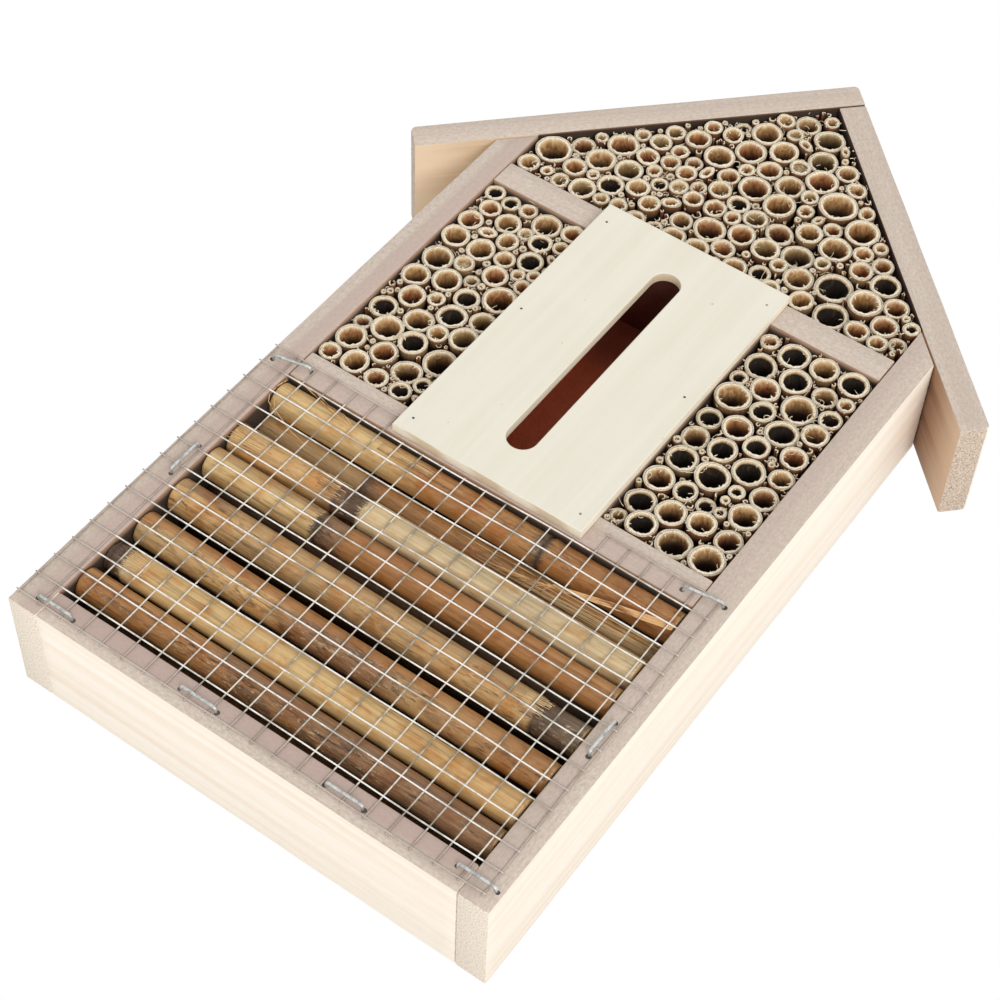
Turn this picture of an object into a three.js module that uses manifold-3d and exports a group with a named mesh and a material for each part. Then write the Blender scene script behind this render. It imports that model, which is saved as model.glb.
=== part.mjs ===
// Insect hotel: a gabled pine box, open at the front, with a slotted butterfly
// chamber between two stacks of hollow reeds, more reeds under the roof, and
// bamboo canes behind welded wire mesh at the bottom.
// Millimetres, +Z up, front towards -Y, origin under the middle of the base.

import * as THREE from 'three';
import { mergeVertices } from 'three/addons/utils/BufferGeometryUtils.js';
import Module from 'manifold-3d';

const wasm = await Module();
wasm.setup();

// ---------------------------------------------------------------- dimensions

const bodyWidth = 138; // over the two side boards
const bodyDepth = 33; // front edge to back edge of the sides and the roof
const boardThickness = 8.5; // sides, base and upper shelf
const lowerShelfThickness = 9.4;
const lowerShelfBottom = 93.4; // underside of the lower shelf
const upperShelfBottom = 181.5; // underside of the upper shelf
const joint = 0.1; // glue line between boards
const clearance = 0.3; // room round driven pieces, bundles and turned boards

const roofPeak = 264.3; // where the undersides of the two roof boards meet
const roofThickness = 8;
const roofUnderside = 120.6; // length of a roof board's underside, up the slope

const panelThickness = 3; // back panel
const panelRecess = 2; // panel's back face in from the boards' back edges
const keyholeRadius = 4; // lets the head of a wall screw in
const keyholeSlotWidth = 4; // then holds its shank
const keyholeRise = 8; // from the middle of the hole to the top of the slot
const keyholeHeight = 226;

const plateWidth = 56.4; // slotted front of the butterfly chamber
const plateBottom = 94;
const plateTop = 190.4;
const plateThickness = 3;
const slotWidth = 8.3;
const slotBottom = 105.7;
const slotTop = 178.2;
const chamberWallThickness = 8.3;
const chamberWidth = 56; // over the two chamber walls

const bradDiameter = 1.2;
const bradLength = 15;
const bradSpread = 25; // from the centre line to each column of brads
const bradHeights = [98.4, 144.6, 184];

const wireDiameter = 0.55; // welded mesh
const meshPitch = 6.35;
const meshColumns = 22;
const meshRows = 16;
const meshLeft = -68.2; // first upright wire
const meshBottom = 3.1; // first level wire
const wireOverhang = 0.6; // wire ends past the last crossing
const weldNuggetShare = 0.35; // a weld's half width as a share of the wire's diameter

const stapleCrown = 10.7;
const stapleLeg = 6; // length below the face of the wood
const stapleWireWidth = 1.2;
const stapleWireThickness = 0.6;
// Where the staples sit: across, up, and turn in degrees (90 is upright).
const staples = {
  staple_top_left: [-61.4, 95.9, -13],
  staple_left: [-63, 56.3, 90],
  staple_bottom_left: [-57.8, 4.2, 1],
  staple_bottom_inner_left: [-15, 4.6, -1],
  staple_bottom_inner_right: [26.9, 4.3, 1],
  staple_bottom_right: [62.1, 5.3, -1],
  staple_right: [63.9, 50.4, 92],
  staple_top_right: [61.2, 97, -8],
};

const caneWall = 1.8;
const caneSides = 10;
const caneBoreSides = 8;
const caneEndGap = 0.5;
// Front layer of bamboo from the base up: height and diameter. The seventh
// cane has slipped back between its neighbours.
const frontCanes = [
  [16.4, 8.3], [26.2, 8.8], [37.2, 9.1], [49.7, 9.2],
  [62.3, 8.4], [71.8, 8.8], [82.5, 8], [88.7, 9.2],
];
const slippedCane = 6;
const slippedCaneDepth = 11;
const frontCaneInset = 0.1; // from the front edges back to the cane
const middleCaneCount = 7;
const middleCaneBottom = 13.6; // height of the lowest middle cane's centre
const middleCanePitch = 9.8;
const middleCaneDiameter = 8.8;
const middleCaneDepth = 15.6;
const backCaneCount = 9;
const backCaneDiameter = 7.4;
const backCaneDepth = 24;

// Outer diameters of the reeds, one row at a time from the bottom, each row
// from left to right. Every stack settles from these rows until it is snug.
const leftReedRows = [
  [6, 8.1, 6.7, 6.4, 3.6],
  [8.1, 7.8, 8.4, 5.3, 2.8],
  [5, 8.8, 8.1, 9.6],
  [7.8, 8.4, 6, 8.1],
  [7.8, 5, 8.4, 7.8],
  [8.1, 8.6, 7.5, 9.6],
  [9.3, 5.8, 4.6, 7.5, 5.3],
  [8.1, 8.3, 6.1, 4.2, 4.5],
  [7.1, 5.6, 6.6, 7.5, 4],
  [6.4, 7.5, 4.6, 6.7, 5],
  [5.8, 5.6, 5.3, 8.6, 6.1],
];
const rightReedRows = [
  [4.5, 8.3, 9.6, 9.4],
  [8.3, 8.2, 7.8, 7.7],
  [8.3, 6.8, 5.4, 3.6, 8.6],
  [8.8, 9.6, 4, 7.8],
  [8.1, 8.1, 8.9, 6.9],
  [7, 8.4, 7.2, 7.5],
  [9.9, 7.2, 9.2, 7.5],
  [5, 8.2, 10.1, 6.4],
  [9.4, 8.6, 7.2, 4.7],
  [4.5, 8.9, 7.8, 8.3],
];
const atticReedRows = [
  [6.5, 3.6, 5.5, 7.8, 4.8, 5.5, 6.3, 5, 7.4, 7.3, 3.6, 7.3, 5.6, 7.1, 9.8, 7.1, 5.8, 5.2],
  [10.5, 6.9, 4, 7.7, 6.9, 6.3, 5.8, 6.9, 9.3, 6.9, 6.3, 5, 8.5, 10.5, 9.3, 7.7, 3.9],
  [7.1, 8.7, 8.1, 4.8, 5.2, 5.5, 6, 6.6, 5.2, 7.8, 8.1, 9.3, 4.8, 6.9, 8.5, 7.1],
  [4, 9, 6.9, 6, 6, 5, 6.9, 6.6, 7.1, 8.1, 7.4, 9.3, 5.8, 6.2],
  [5, 6.4, 5.2, 5.5, 5.5, 6.5, 9.5, 9.3, 5, 4.2, 5.5, 9.7, 4.4],
  [5.8, 7.4, 9, 4.8, 7.4, 8.5, 5.2, 10.9, 5],
  [5.4, 6.3, 9, 8.5, 6, 9.3, 5.6],
  [4.8, 8.9, 5.2, 9, 6.6],
  [5.5, 5, 9, 4],
  [7.4, 4.6],
];
const reedInset = 1; // from the front edges back to the reeds
const reedFill = 0.78; // share of the stack space that the reeds cover
const settlingRounds = 900; // passes until the reeds no longer push each other
const thinReed = 6.5; // reeds thinner than this have six-sided bores

// ------------------------------------------------------- worked-out positions

const halfWidth = bodyWidth / 2;
const innerHalfWidth = halfWidth - boardThickness;
const upperShelfTop = upperShelfBottom + boardThickness;
const lowerShelfTop = lowerShelfBottom + lowerShelfThickness;
const panelFront = bodyDepth - panelRecess - panelThickness;
const innerDepth = panelFront - joint; // shelves, chamber walls and contents
const plateFront = -joint - plateThickness;
const diagonal = Math.SQRT2;
const roofClearanceHeight = roofPeak - clearance * diagonal;

// ------------------------------------------------------------------ materials

const paint = (color, roughness, metalness = 0) =>
  new THREE.MeshStandardMaterial({ color, roughness, metalness });
const pine = paint(0xe6d3bd, 0.75);
const plywood = paint(0xeee6d4, 0.7);
const hardboard = paint(0x7a4a30, 0.85);
const reedCane = paint(0xc9a678, 0.7);
const bamboo = paint(0xb98550, 0.5);
const paleBamboo = paint(0xd2b07a, 0.5);
const galvanised = paint(0xb9bfc2, 0.4, 0.9);
const bright = paint(0x8d9093, 0.35, 0.9);

// -------------------------------------------------------------------- helpers

function toSolid(geometry) {
  const bare = geometry.clone();
  bare.deleteAttribute('normal');
  bare.deleteAttribute('uv');
  const merged = mergeVertices(bare);
  return new wasm.Manifold(new wasm.Mesh({
    numProp: 3,
    vertProperties: Float32Array.from(merged.attributes.position.array),
    triVerts: Uint32Array.from(merged.index.array),
  }));
}

function toGeometry(solid) {
  const { vertProperties, triVerts } = solid.getMesh();
  const geometry = new THREE.BufferGeometry();
  geometry.setAttribute('position', new THREE.BufferAttribute(vertProperties, 3));
  geometry.setIndex(new THREE.BufferAttribute(triVerts, 1));
  geometry.computeVertexNormals();
  return geometry;
}

function carve(geometry, cutters) {
  const cut = cutters.reduce((solid, cutter) => solid.subtract(toSolid(cutter)), toSolid(geometry));
  return toGeometry(cut);
}

function fuse(geometries) {
  const [first, ...rest] = geometries.map(toSolid);
  return toGeometry(rest.reduce((solid, next) => solid.add(next), first));
}

// A box between two corners.
function block([x0, y0, z0], [x1, y1, z1]) {
  const box = new THREE.BoxGeometry(x1 - x0, y1 - y0, z1 - z0);
  return box.translate((x0 + x1) / 2, (y0 + y1) / 2, (z0 + z1) / 2);
}

// A front-view outline, across and up, drawn out from front to back.
function drawBack(shape, front, depth, curveSegments = 8) {
  const geometry = new THREE.ExtrudeGeometry(shape, { depth, bevelEnabled: false, curveSegments });
  return geometry.rotateX(Math.PI / 2).translate(0, front + depth, 0);
}

const outline = (points) => new THREE.Shape(points.map(([x, z]) => new THREE.Vector2(x, z)));

// A regular polygon as a closed path, with one corner at the given angle.
function ring(PathType, x, z, radius, sides, firstAngle) {
  const corners = Array.from({ length: sides }, (_, corner) => {
    const angle = firstAngle + (corner * 2 * Math.PI) / sides;
    return new THREE.Vector2(x + radius * Math.cos(angle), z + radius * Math.sin(angle));
  });
  return new PathType(corners);
}

const hotel = new THREE.Group();
hotel.position.y = -(plateFront + bodyDepth) / 2;

function add(name, geometry, material, parent = hotel) {
  const mesh = new THREE.Mesh(geometry, material.clone());
  mesh.name = name;
  parent.add(mesh);
  return mesh;
}

// ------------------------------------------------------- fasteners and pockets

// A U-shaped staple: crown across X, legs towards +Y.
function stapleGeometry() {
  const meshFront = -joint - 2 * wireDiameter - joint / 2;
  const under = meshFront - joint;
  const over = under - stapleWireThickness;
  const outer = stapleCrown / 2;
  const inner = outer - stapleWireThickness;
  const shape = outline([
    [-outer, over], [outer, over], [outer, stapleLeg], [inner, stapleLeg],
    [inner, under], [-inner, under], [-inner, stapleLeg], [-outer, stapleLeg],
  ]);
  const geometry = new THREE.ExtrudeGeometry(shape, { depth: stapleWireWidth, bevelEnabled: false });
  return geometry.translate(0, 0, -stapleWireWidth / 2);
}

// The two slots that a staple's legs leave in the wood.
function staplePockets(staple) {
  const middle = (stapleCrown - stapleWireThickness) / 2;
  const halfThickness = stapleWireThickness / 2 + clearance;
  const halfWide = stapleWireWidth / 2 + clearance;
  staple.updateMatrix();
  return [-middle, middle].map((x) => block(
    [x - halfThickness, -1, -halfWide],
    [x + halfThickness, stapleLeg + clearance, halfWide],
  ).applyMatrix4(staple.matrix));
}

const stapleMeshes = Object.entries(staples).map(([name, [x, z, turn]]) => {
  const staple = add(name, stapleGeometry(), galvanised);
  staple.position.set(x, 0, z);
  staple.rotation.y = THREE.MathUtils.degToRad(turn);
  return staple;
});

const bradPlaces = bradHeights.flatMap((z) => [[-bradSpread, z], [bradSpread, z]]);

function bradPin(x, z, radius, length) {
  return new THREE.CylinderGeometry(radius, radius, length, 6)
    .translate(x, plateFront + length / 2, z);
}

const bradHoles = bradPlaces.map(([x, z]) => {
  const radius = bradDiameter / 2 + clearance;
  return bradPin(x, z, radius, bradLength + clearance);
});
const bradHolesThrough = bradPlaces.map(([x, z]) => {
  const radius = bradDiameter / 2 + clearance;
  return bradPin(x, z, radius, bradLength).translate(0, -1, 0);
});
bradPlaces.forEach(([x, z], index) => {
  const name = `plate_brad_${index + 1}`;
  add(name, bradPin(x, z, bradDiameter / 2, bradLength), bright);
});

const drivenPockets = stapleMeshes.flatMap(staplePockets).concat(bradHoles);

// ------------------------------------------------------------- pine carcass

function sideBoard(side) {
  const outer = side * halfWidth;
  const inner = side * innerHalfWidth;
  const shape = outline([
    [outer, 0], [inner, 0],
    [inner, roofClearanceHeight - innerHalfWidth], [outer, roofClearanceHeight - halfWidth],
  ]);
  return carve(drawBack(shape, 0, bodyDepth), drivenPockets);
}

add('left_side_board', sideBoard(-1), pine);
add('right_side_board', sideBoard(1), pine);

const between = innerHalfWidth - joint;
const shelf = (bottom, top, depth) =>
  carve(block([-between, 0, bottom], [between, depth, top]), drivenPockets);

add('base_board', shelf(0, boardThickness, bodyDepth), pine);
add('lower_shelf', shelf(lowerShelfBottom, lowerShelfTop, innerDepth), pine);
add('upper_shelf', shelf(upperShelfBottom, upperShelfTop, innerDepth), pine);

// Each roof board is flat in a group whose X axis runs up the slope. The left
// board runs on over the end of the right one, so it is longer by a thickness.
function roofBoard(name, side, length) {
  const slope = new THREE.Group();
  slope.position.z = roofPeak;
  slope.rotation.y = side * Math.PI / 4;
  hotel.add(slope);
  const board = new THREE.BoxGeometry(length, bodyDepth, roofThickness);
  const mesh = add(name, board, pine, slope);
  mesh.position.set(side * (roofUnderside - length / 2), bodyDepth / 2, roofThickness / 2);
}

roofBoard('left_roof_board', -1, roofUnderside + roofThickness);
roofBoard('right_roof_board', 1, roofUnderside - clearance);

// ----------------------------------------------------------------- back panel

function keyhole() {
  const half = keyholeSlotWidth / 2;
  const shoulder = Math.asin(half / keyholeRadius);
  const path = new THREE.Path();
  path.absarc(0, keyholeHeight, keyholeRadius, Math.PI / 2 + shoulder, Math.PI / 2 - shoulder + 2 * Math.PI);
  path.absarc(0, keyholeHeight + keyholeRise - half, half, 0, Math.PI);
  return path;
}

function backPanel() {
  const edge = innerHalfWidth - clearance;
  const gable = roofClearanceHeight - clearance;
  const shape = outline([
    [-edge, boardThickness + clearance], [edge, boardThickness + clearance],
    [edge, gable - edge], [0, gable], [-edge, gable - edge],
  ]);
  shape.holes.push(keyhole());
  return drawBack(shape, panelFront, panelThickness);
}

add('back_panel', backPanel(), hardboard);

// ----------------------------------------------------------- butterfly chamber

function chamberWall(side) {
  const outer = side * chamberWidth / 2;
  const inner = outer - side * chamberWallThickness;
  const wall = block(
    [Math.min(inner, outer), 0, lowerShelfTop + joint],
    [Math.max(inner, outer), innerDepth, upperShelfBottom - joint],
  );
  return carve(wall, drivenPockets);
}

add('left_chamber_wall', chamberWall(-1), pine);
add('right_chamber_wall', chamberWall(1), pine);

function butterflyPlate() {
  const half = plateWidth / 2;
  const shape = outline([[-half, plateBottom], [half, plateBottom], [half, plateTop], [-half, plateTop]]);
  const radius = slotWidth / 2;
  const slot = new THREE.Path();
  slot.absarc(0, slotTop - radius, radius, 0, Math.PI);
  slot.absarc(0, slotBottom + radius, radius, Math.PI, 2 * Math.PI);
  shape.holes.push(slot);
  return carve(drawBack(shape, plateFront, plateThickness), bradHolesThrough);
}

add('butterfly_plate', butterflyPlate(), plywood);

// ------------------------------------------------------------------ wire mesh

// Upright wires lie on the wood, level wires lie over them, and weld nuggets
// join the two layers along the left and bottom edges. Round the butterfly
// plate the mesh is cut away, one row down.
function wireMesh() {
  const half = wireDiameter / 2;
  const uprightDepth = -joint - half;
  const levelDepth = uprightDepth - wireDiameter - joint / 2;
  const columnAt = (column) => meshLeft + column * meshPitch;
  const rowAt = (row) => meshBottom + row * meshPitch;
  const underPlate = (column) => Math.abs(columnAt(column)) < plateWidth / 2;
  const lastColumn = meshColumns - 1;
  const lastRow = meshRows - 1;
  const columns = [...Array(meshColumns).keys()];
  const bar = (x0, x1, depth, z0, z1) => block([x0, depth - half, z0], [x1, depth + half, z1]);

  const uprights = columns.map((column) => {
    const x = columnAt(column);
    const top = rowAt(underPlate(column) ? lastRow - 1 : lastRow) + wireOverhang;
    return bar(x - half, x + half, uprightDepth, meshBottom - wireOverhang, top);
  });
  const level = (row, first, last) => {
    const z = rowAt(row);
    const start = columnAt(first) - wireOverhang;
    const end = columnAt(last) + wireOverhang;
    return bar(start, end, levelDepth, z - half, z + half);
  };
  const levels = [...Array(lastRow).keys()].map((row) => level(row, 0, lastColumn));
  const covered = columns.filter(underPlate);
  levels.push(level(lastRow, 0, covered[0] - 1));
  levels.push(level(lastRow, covered.at(-1) + 1, lastColumn));

  const nugget = (column, row) => {
    const size = wireDiameter * weldNuggetShare;
    const x = columnAt(column);
    const z = rowAt(row);
    return block([x - size, levelDepth, z - size], [x + size, uprightDepth, z + size]);
  };
  const nuggets = columns.map((column) => nugget(column, 0));
  for (let row = 1; row < meshRows; row += 1) {
    nuggets.push(nugget(0, row));
  }
  nuggets.push(nugget(lastColumn, lastRow));
  return fuse([...uprights, ...levels, ...nuggets]);
}

add('wire_mesh', wireMesh(), galvanised);

// --------------------------------------------------------------- bamboo canes

function cane(name, depth, height, diameter, material) {
  const radius = diameter / 2;
  const length = 2 * (innerHalfWidth - caneEndGap);
  const section = ring(THREE.Shape, 0, 0, radius, caneSides, 0);
  section.holes.push(ring(THREE.Path, 0, 0, radius - caneWall, caneBoreSides, 0));
  const tube = new THREE.ExtrudeGeometry(section, { depth: length, bevelEnabled: false });
  tube.translate(0, 0, -length / 2).rotateY(Math.PI / 2);
  add(name, tube, material).position.set(0, depth, height);
}

frontCanes.forEach(([height, diameter], index) => {
  const restingDepth = frontCaneInset + diameter / 2;
  const depth = index === slippedCane ? slippedCaneDepth : restingDepth;
  cane(`front_cane_${index + 1}`, depth, height, diameter, index % 2 ? paleBamboo : bamboo);
});
for (let index = 0; index < middleCaneCount; index += 1) {
  const height = middleCaneBottom + index * middleCanePitch;
  cane(`middle_cane_${index + 1}`, middleCaneDepth, height, middleCaneDiameter, bamboo);
}
const backCaneBottom = boardThickness + clearance + backCaneDiameter / 2;
const backCaneTop = lowerShelfBottom - clearance - backCaneDiameter / 2;
for (let index = 0; index < backCaneCount; index += 1) {
  const height = THREE.MathUtils.lerp(backCaneBottom, backCaneTop, index / (backCaneCount - 1));
  cane(`back_cane_${index + 1}`, backCaneDepth, height, backCaneDiameter, bamboo);
}

// ---------------------------------------------------------------- reed stacks

// A stack's space is a list of walls, each a unit normal pointing out and its
// distance from the origin, with the corners that the walls meet at.
const floorWall = (z) => ({ normal: [0, -1], offset: -z });
const ceilingWall = (z) => ({ normal: [0, 1], offset: z });
const leftWall = (x) => ({ normal: [-1, 0], offset: -x });
const rightWall = (x) => ({ normal: [1, 0], offset: x });
const roofWall = (side, peak) => ({ normal: [side / diagonal, 1 / diagonal], offset: peak / diagonal });

function rectangularSpace(x0, x1, z0, z1) {
  return {
    walls: [floorWall(z0), ceilingWall(z1), leftWall(x0), rightWall(x1)],
    corners: [[x0, z0], [x1, z0], [x1, z1], [x0, z1]],
    spanAt: () => [x0, x1],
  };
}

function gableSpace(half, floor, peak) {
  return {
    walls: [floorWall(floor), leftWall(-half), rightWall(half), roofWall(-1, peak), roofWall(1, peak)],
    corners: [[-half, floor], [half, floor], [half, peak - half], [0, peak], [-half, peak - half]],
    spanAt: (z) => [-Math.min(half, peak - z), Math.min(half, peak - z)],
  };
}

// Lays the rows out across the space and scales the reeds to fill it.
function layRows(rows, space) {
  const area = Math.abs(THREE.ShapeUtils.area(space.corners.map(([x, y]) => ({ x, y }))));
  const covered = rows.flat().reduce((sum, diameter) => sum + Math.PI * diameter ** 2 / 4, 0);
  const scale = Math.sqrt(reedFill * area / covered);
  const floor = space.corners[0][1];
  const ceiling = Math.max(...space.corners.map((corner) => corner[1]));
  const widest = rows.map((row) => Math.max(...row));
  const total = widest.reduce((sum, width) => sum + width, 0);
  let filled = 0;
  return rows.flatMap((row, index) => {
    const z = floor + (ceiling - floor) * (filled + widest[index] / 2) / total;
    filled += widest[index];
    const [x0, x1] = space.spanAt(z);
    const rowWidth = row.reduce((sum, diameter) => sum + diameter, 0);
    let used = 0;
    return row.map((diameter) => {
      const x = x0 + (x1 - x0) * (used + diameter / 2) / rowWidth;
      used += diameter;
      return { x, z, radius: scale * diameter / 2 };
    });
  });
}

// Pushes touching reeds apart and back inside the walls until they settle.
function settle(reeds, space) {
  for (let round = 0; round < settlingRounds; round += 1) {
    for (let i = 0; i < reeds.length; i += 1) {
      for (let j = i + 1; j < reeds.length; j += 1) {
        const dx = reeds[j].x - reeds[i].x;
        const dz = reeds[j].z - reeds[i].z;
        const distance = Math.sqrt(dx * dx + dz * dz);
        const overlap = reeds[i].radius + reeds[j].radius - distance;
        if (overlap > 0) {
          const push = overlap / 2 / distance;
          reeds[i].x -= dx * push;
          reeds[i].z -= dz * push;
          reeds[j].x += dx * push;
          reeds[j].z += dz * push;
        }
      }
    }
    for (const reed of reeds) {
      for (const { normal, offset } of space.walls) {
        const outside = reed.x * normal[0] + reed.z * normal[1] + reed.radius - offset;
        if (outside > 0) {
          reed.x -= normal[0] * outside;
          reed.z -= normal[1] * outside;
        }
      }
    }
  }
  return reeds;
}

const thinnestReedWall = 0.6;
const reedWallShare = 0.07; // extra wall as a share of the reed's diameter
const thinReedBoreSides = 6;
const reedBoreSides = 8;
const reedWall = (diameter) => thinnestReedWall + reedWallShare * diameter;

// One compartment's reeds as a single body, with a bore for every reed.
function reedStack(rows, space) {
  const shape = outline(space.corners);
  for (const { x, z, radius } of settle(layRows(rows, space), space)) {
    const sides = 2 * radius < thinReed ? thinReedBoreSides : reedBoreSides;
    const bore = radius - reedWall(2 * radius);
    shape.holes.push(ring(THREE.Path, x, z, bore, sides, Math.PI / 4));
  }
  return drawBack(shape, reedInset, innerDepth - reedInset - joint);
}

const stackOuter = innerHalfWidth - clearance;
const stackInner = chamberWidth / 2 + clearance;
const stackBottom = lowerShelfTop + clearance;
const stackTop = upperShelfBottom - clearance;
const leftSpace = rectangularSpace(-stackOuter, -stackInner, stackBottom, stackTop);
const rightSpace = rectangularSpace(stackInner, stackOuter, stackBottom, stackTop);
const atticSpace = gableSpace(stackOuter, upperShelfTop + clearance, roofClearanceHeight - clearance);

add('left_reeds', reedStack(leftReedRows, leftSpace), reedCane);
add('right_reeds', reedStack(rightReedRows, rightSpace), reedCane);
add('attic_reeds', reedStack(atticReedRows, atticSpace), reedCane);

export default hotel;
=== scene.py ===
import math
import random

import bmesh
import bpy
from mathutils import Matrix, Vector, noise


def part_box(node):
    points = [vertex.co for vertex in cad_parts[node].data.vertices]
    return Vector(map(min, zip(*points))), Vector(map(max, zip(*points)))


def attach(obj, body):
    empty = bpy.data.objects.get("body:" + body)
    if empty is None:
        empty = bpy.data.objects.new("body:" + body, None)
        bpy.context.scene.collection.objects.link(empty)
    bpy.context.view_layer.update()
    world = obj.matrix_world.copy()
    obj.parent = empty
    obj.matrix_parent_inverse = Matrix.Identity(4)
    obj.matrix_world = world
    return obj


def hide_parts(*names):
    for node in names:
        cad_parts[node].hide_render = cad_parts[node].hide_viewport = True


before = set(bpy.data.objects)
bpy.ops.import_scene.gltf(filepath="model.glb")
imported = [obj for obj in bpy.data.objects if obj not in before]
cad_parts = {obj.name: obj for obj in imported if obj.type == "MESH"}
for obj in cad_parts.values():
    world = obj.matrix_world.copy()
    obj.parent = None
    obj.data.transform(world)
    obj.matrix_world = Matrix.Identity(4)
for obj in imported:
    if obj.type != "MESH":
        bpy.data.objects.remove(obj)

noise.seed_set(11)  # without a seed, noise_vector gives other shapes in each run
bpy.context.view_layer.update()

# ---- dimensions
# Metres, in the row frame: X across, Y from front to back, Z up.

MM = 0.001
WIRE_RADIUS = 0.21 * MM
MESH_PITCH = 6.35 * MM
MESH_COLUMNS = 22
MESH_ROWS = 16
ROOF_THICKNESS = 8 * MM
ROOF_EASED = 0.6 * MM
ROUNDED_CORNER = 1.6 * MM
BOARD_SLICE = 5 * MM  # between the cuts that let a board be uneven
BOARD_WAVER = 0.10 * MM
PLATE_SLOT_WIDTH = 8.3 * MM
PLATE_SLOT_ENDS = (105.7 * MM, 178.2 * MM)
KEYHOLE_RADIUS = 4 * MM
KEYHOLE_SLOT = 4 * MM
KEYHOLE_RISE = 8 * MM
KEYHOLE_HEIGHT = 226 * MM
STAPLE_THICKNESS = 0.6 * MM
STAPLE_WIDTH = 1.2 * MM
STAPLE_SEEN_WIDTH = 0.72 * MM  # its wire is rounder than the CAD's flat one
STAPLE_SHOULDER = 0.7 * MM
BORE_RADIUS_LOSS = 0.6 * MM  # a reed's bore radius is 0.86 of its radius less this
BORE_RADIUS_SHARE = 0.86
CANE_WALL = 1.8 * MM
CANE_CHAMFER = 0.35 * MM  # from a cane's end to where its full skin starts
CANE_SKIN_SHARE = 0.985  # of the CAD cane's radius, so that the nodes stay inside

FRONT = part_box("left_side_board")[0].y  # the plane of the boards' front edges
INNER_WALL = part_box("right_side_board")[0].x / MM  # millimetres, for materials
OUTER_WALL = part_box("right_side_board")[1].x / MM
BASE_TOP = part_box("base_board")[1].z / MM
SHELF_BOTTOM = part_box("lower_shelf")[0].z / MM


# ---- camera

CAMERA_LENS = 82.46
CAMERA_PLACE = (0.1954, -0.45015, -0.1941)
CAMERA_FORWARD = (-0.3420, 0.7850, 0.5166)
CAMERA_UP = (-0.4717, -0.6189, 0.6281)


def add_camera():
    """The object seen from below right, turned as in the reference view."""
    data = bpy.data.cameras.new("camera")
    data.sensor_width = 36
    data.lens = CAMERA_LENS
    data.clip_start = 0.01
    camera = bpy.data.objects.new("camera", data)
    bpy.context.scene.collection.objects.link(camera)
    forward = Vector(CAMERA_FORWARD).normalized()
    right = forward.cross(Vector(CAMERA_UP)).normalized()
    turn = Matrix((right, right.cross(forward), -forward)).transposed().to_4x4()
    camera.matrix_world = Matrix.Translation(CAMERA_PLACE) @ turn
    bpy.context.scene.camera = camera


# ---- material helper

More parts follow.
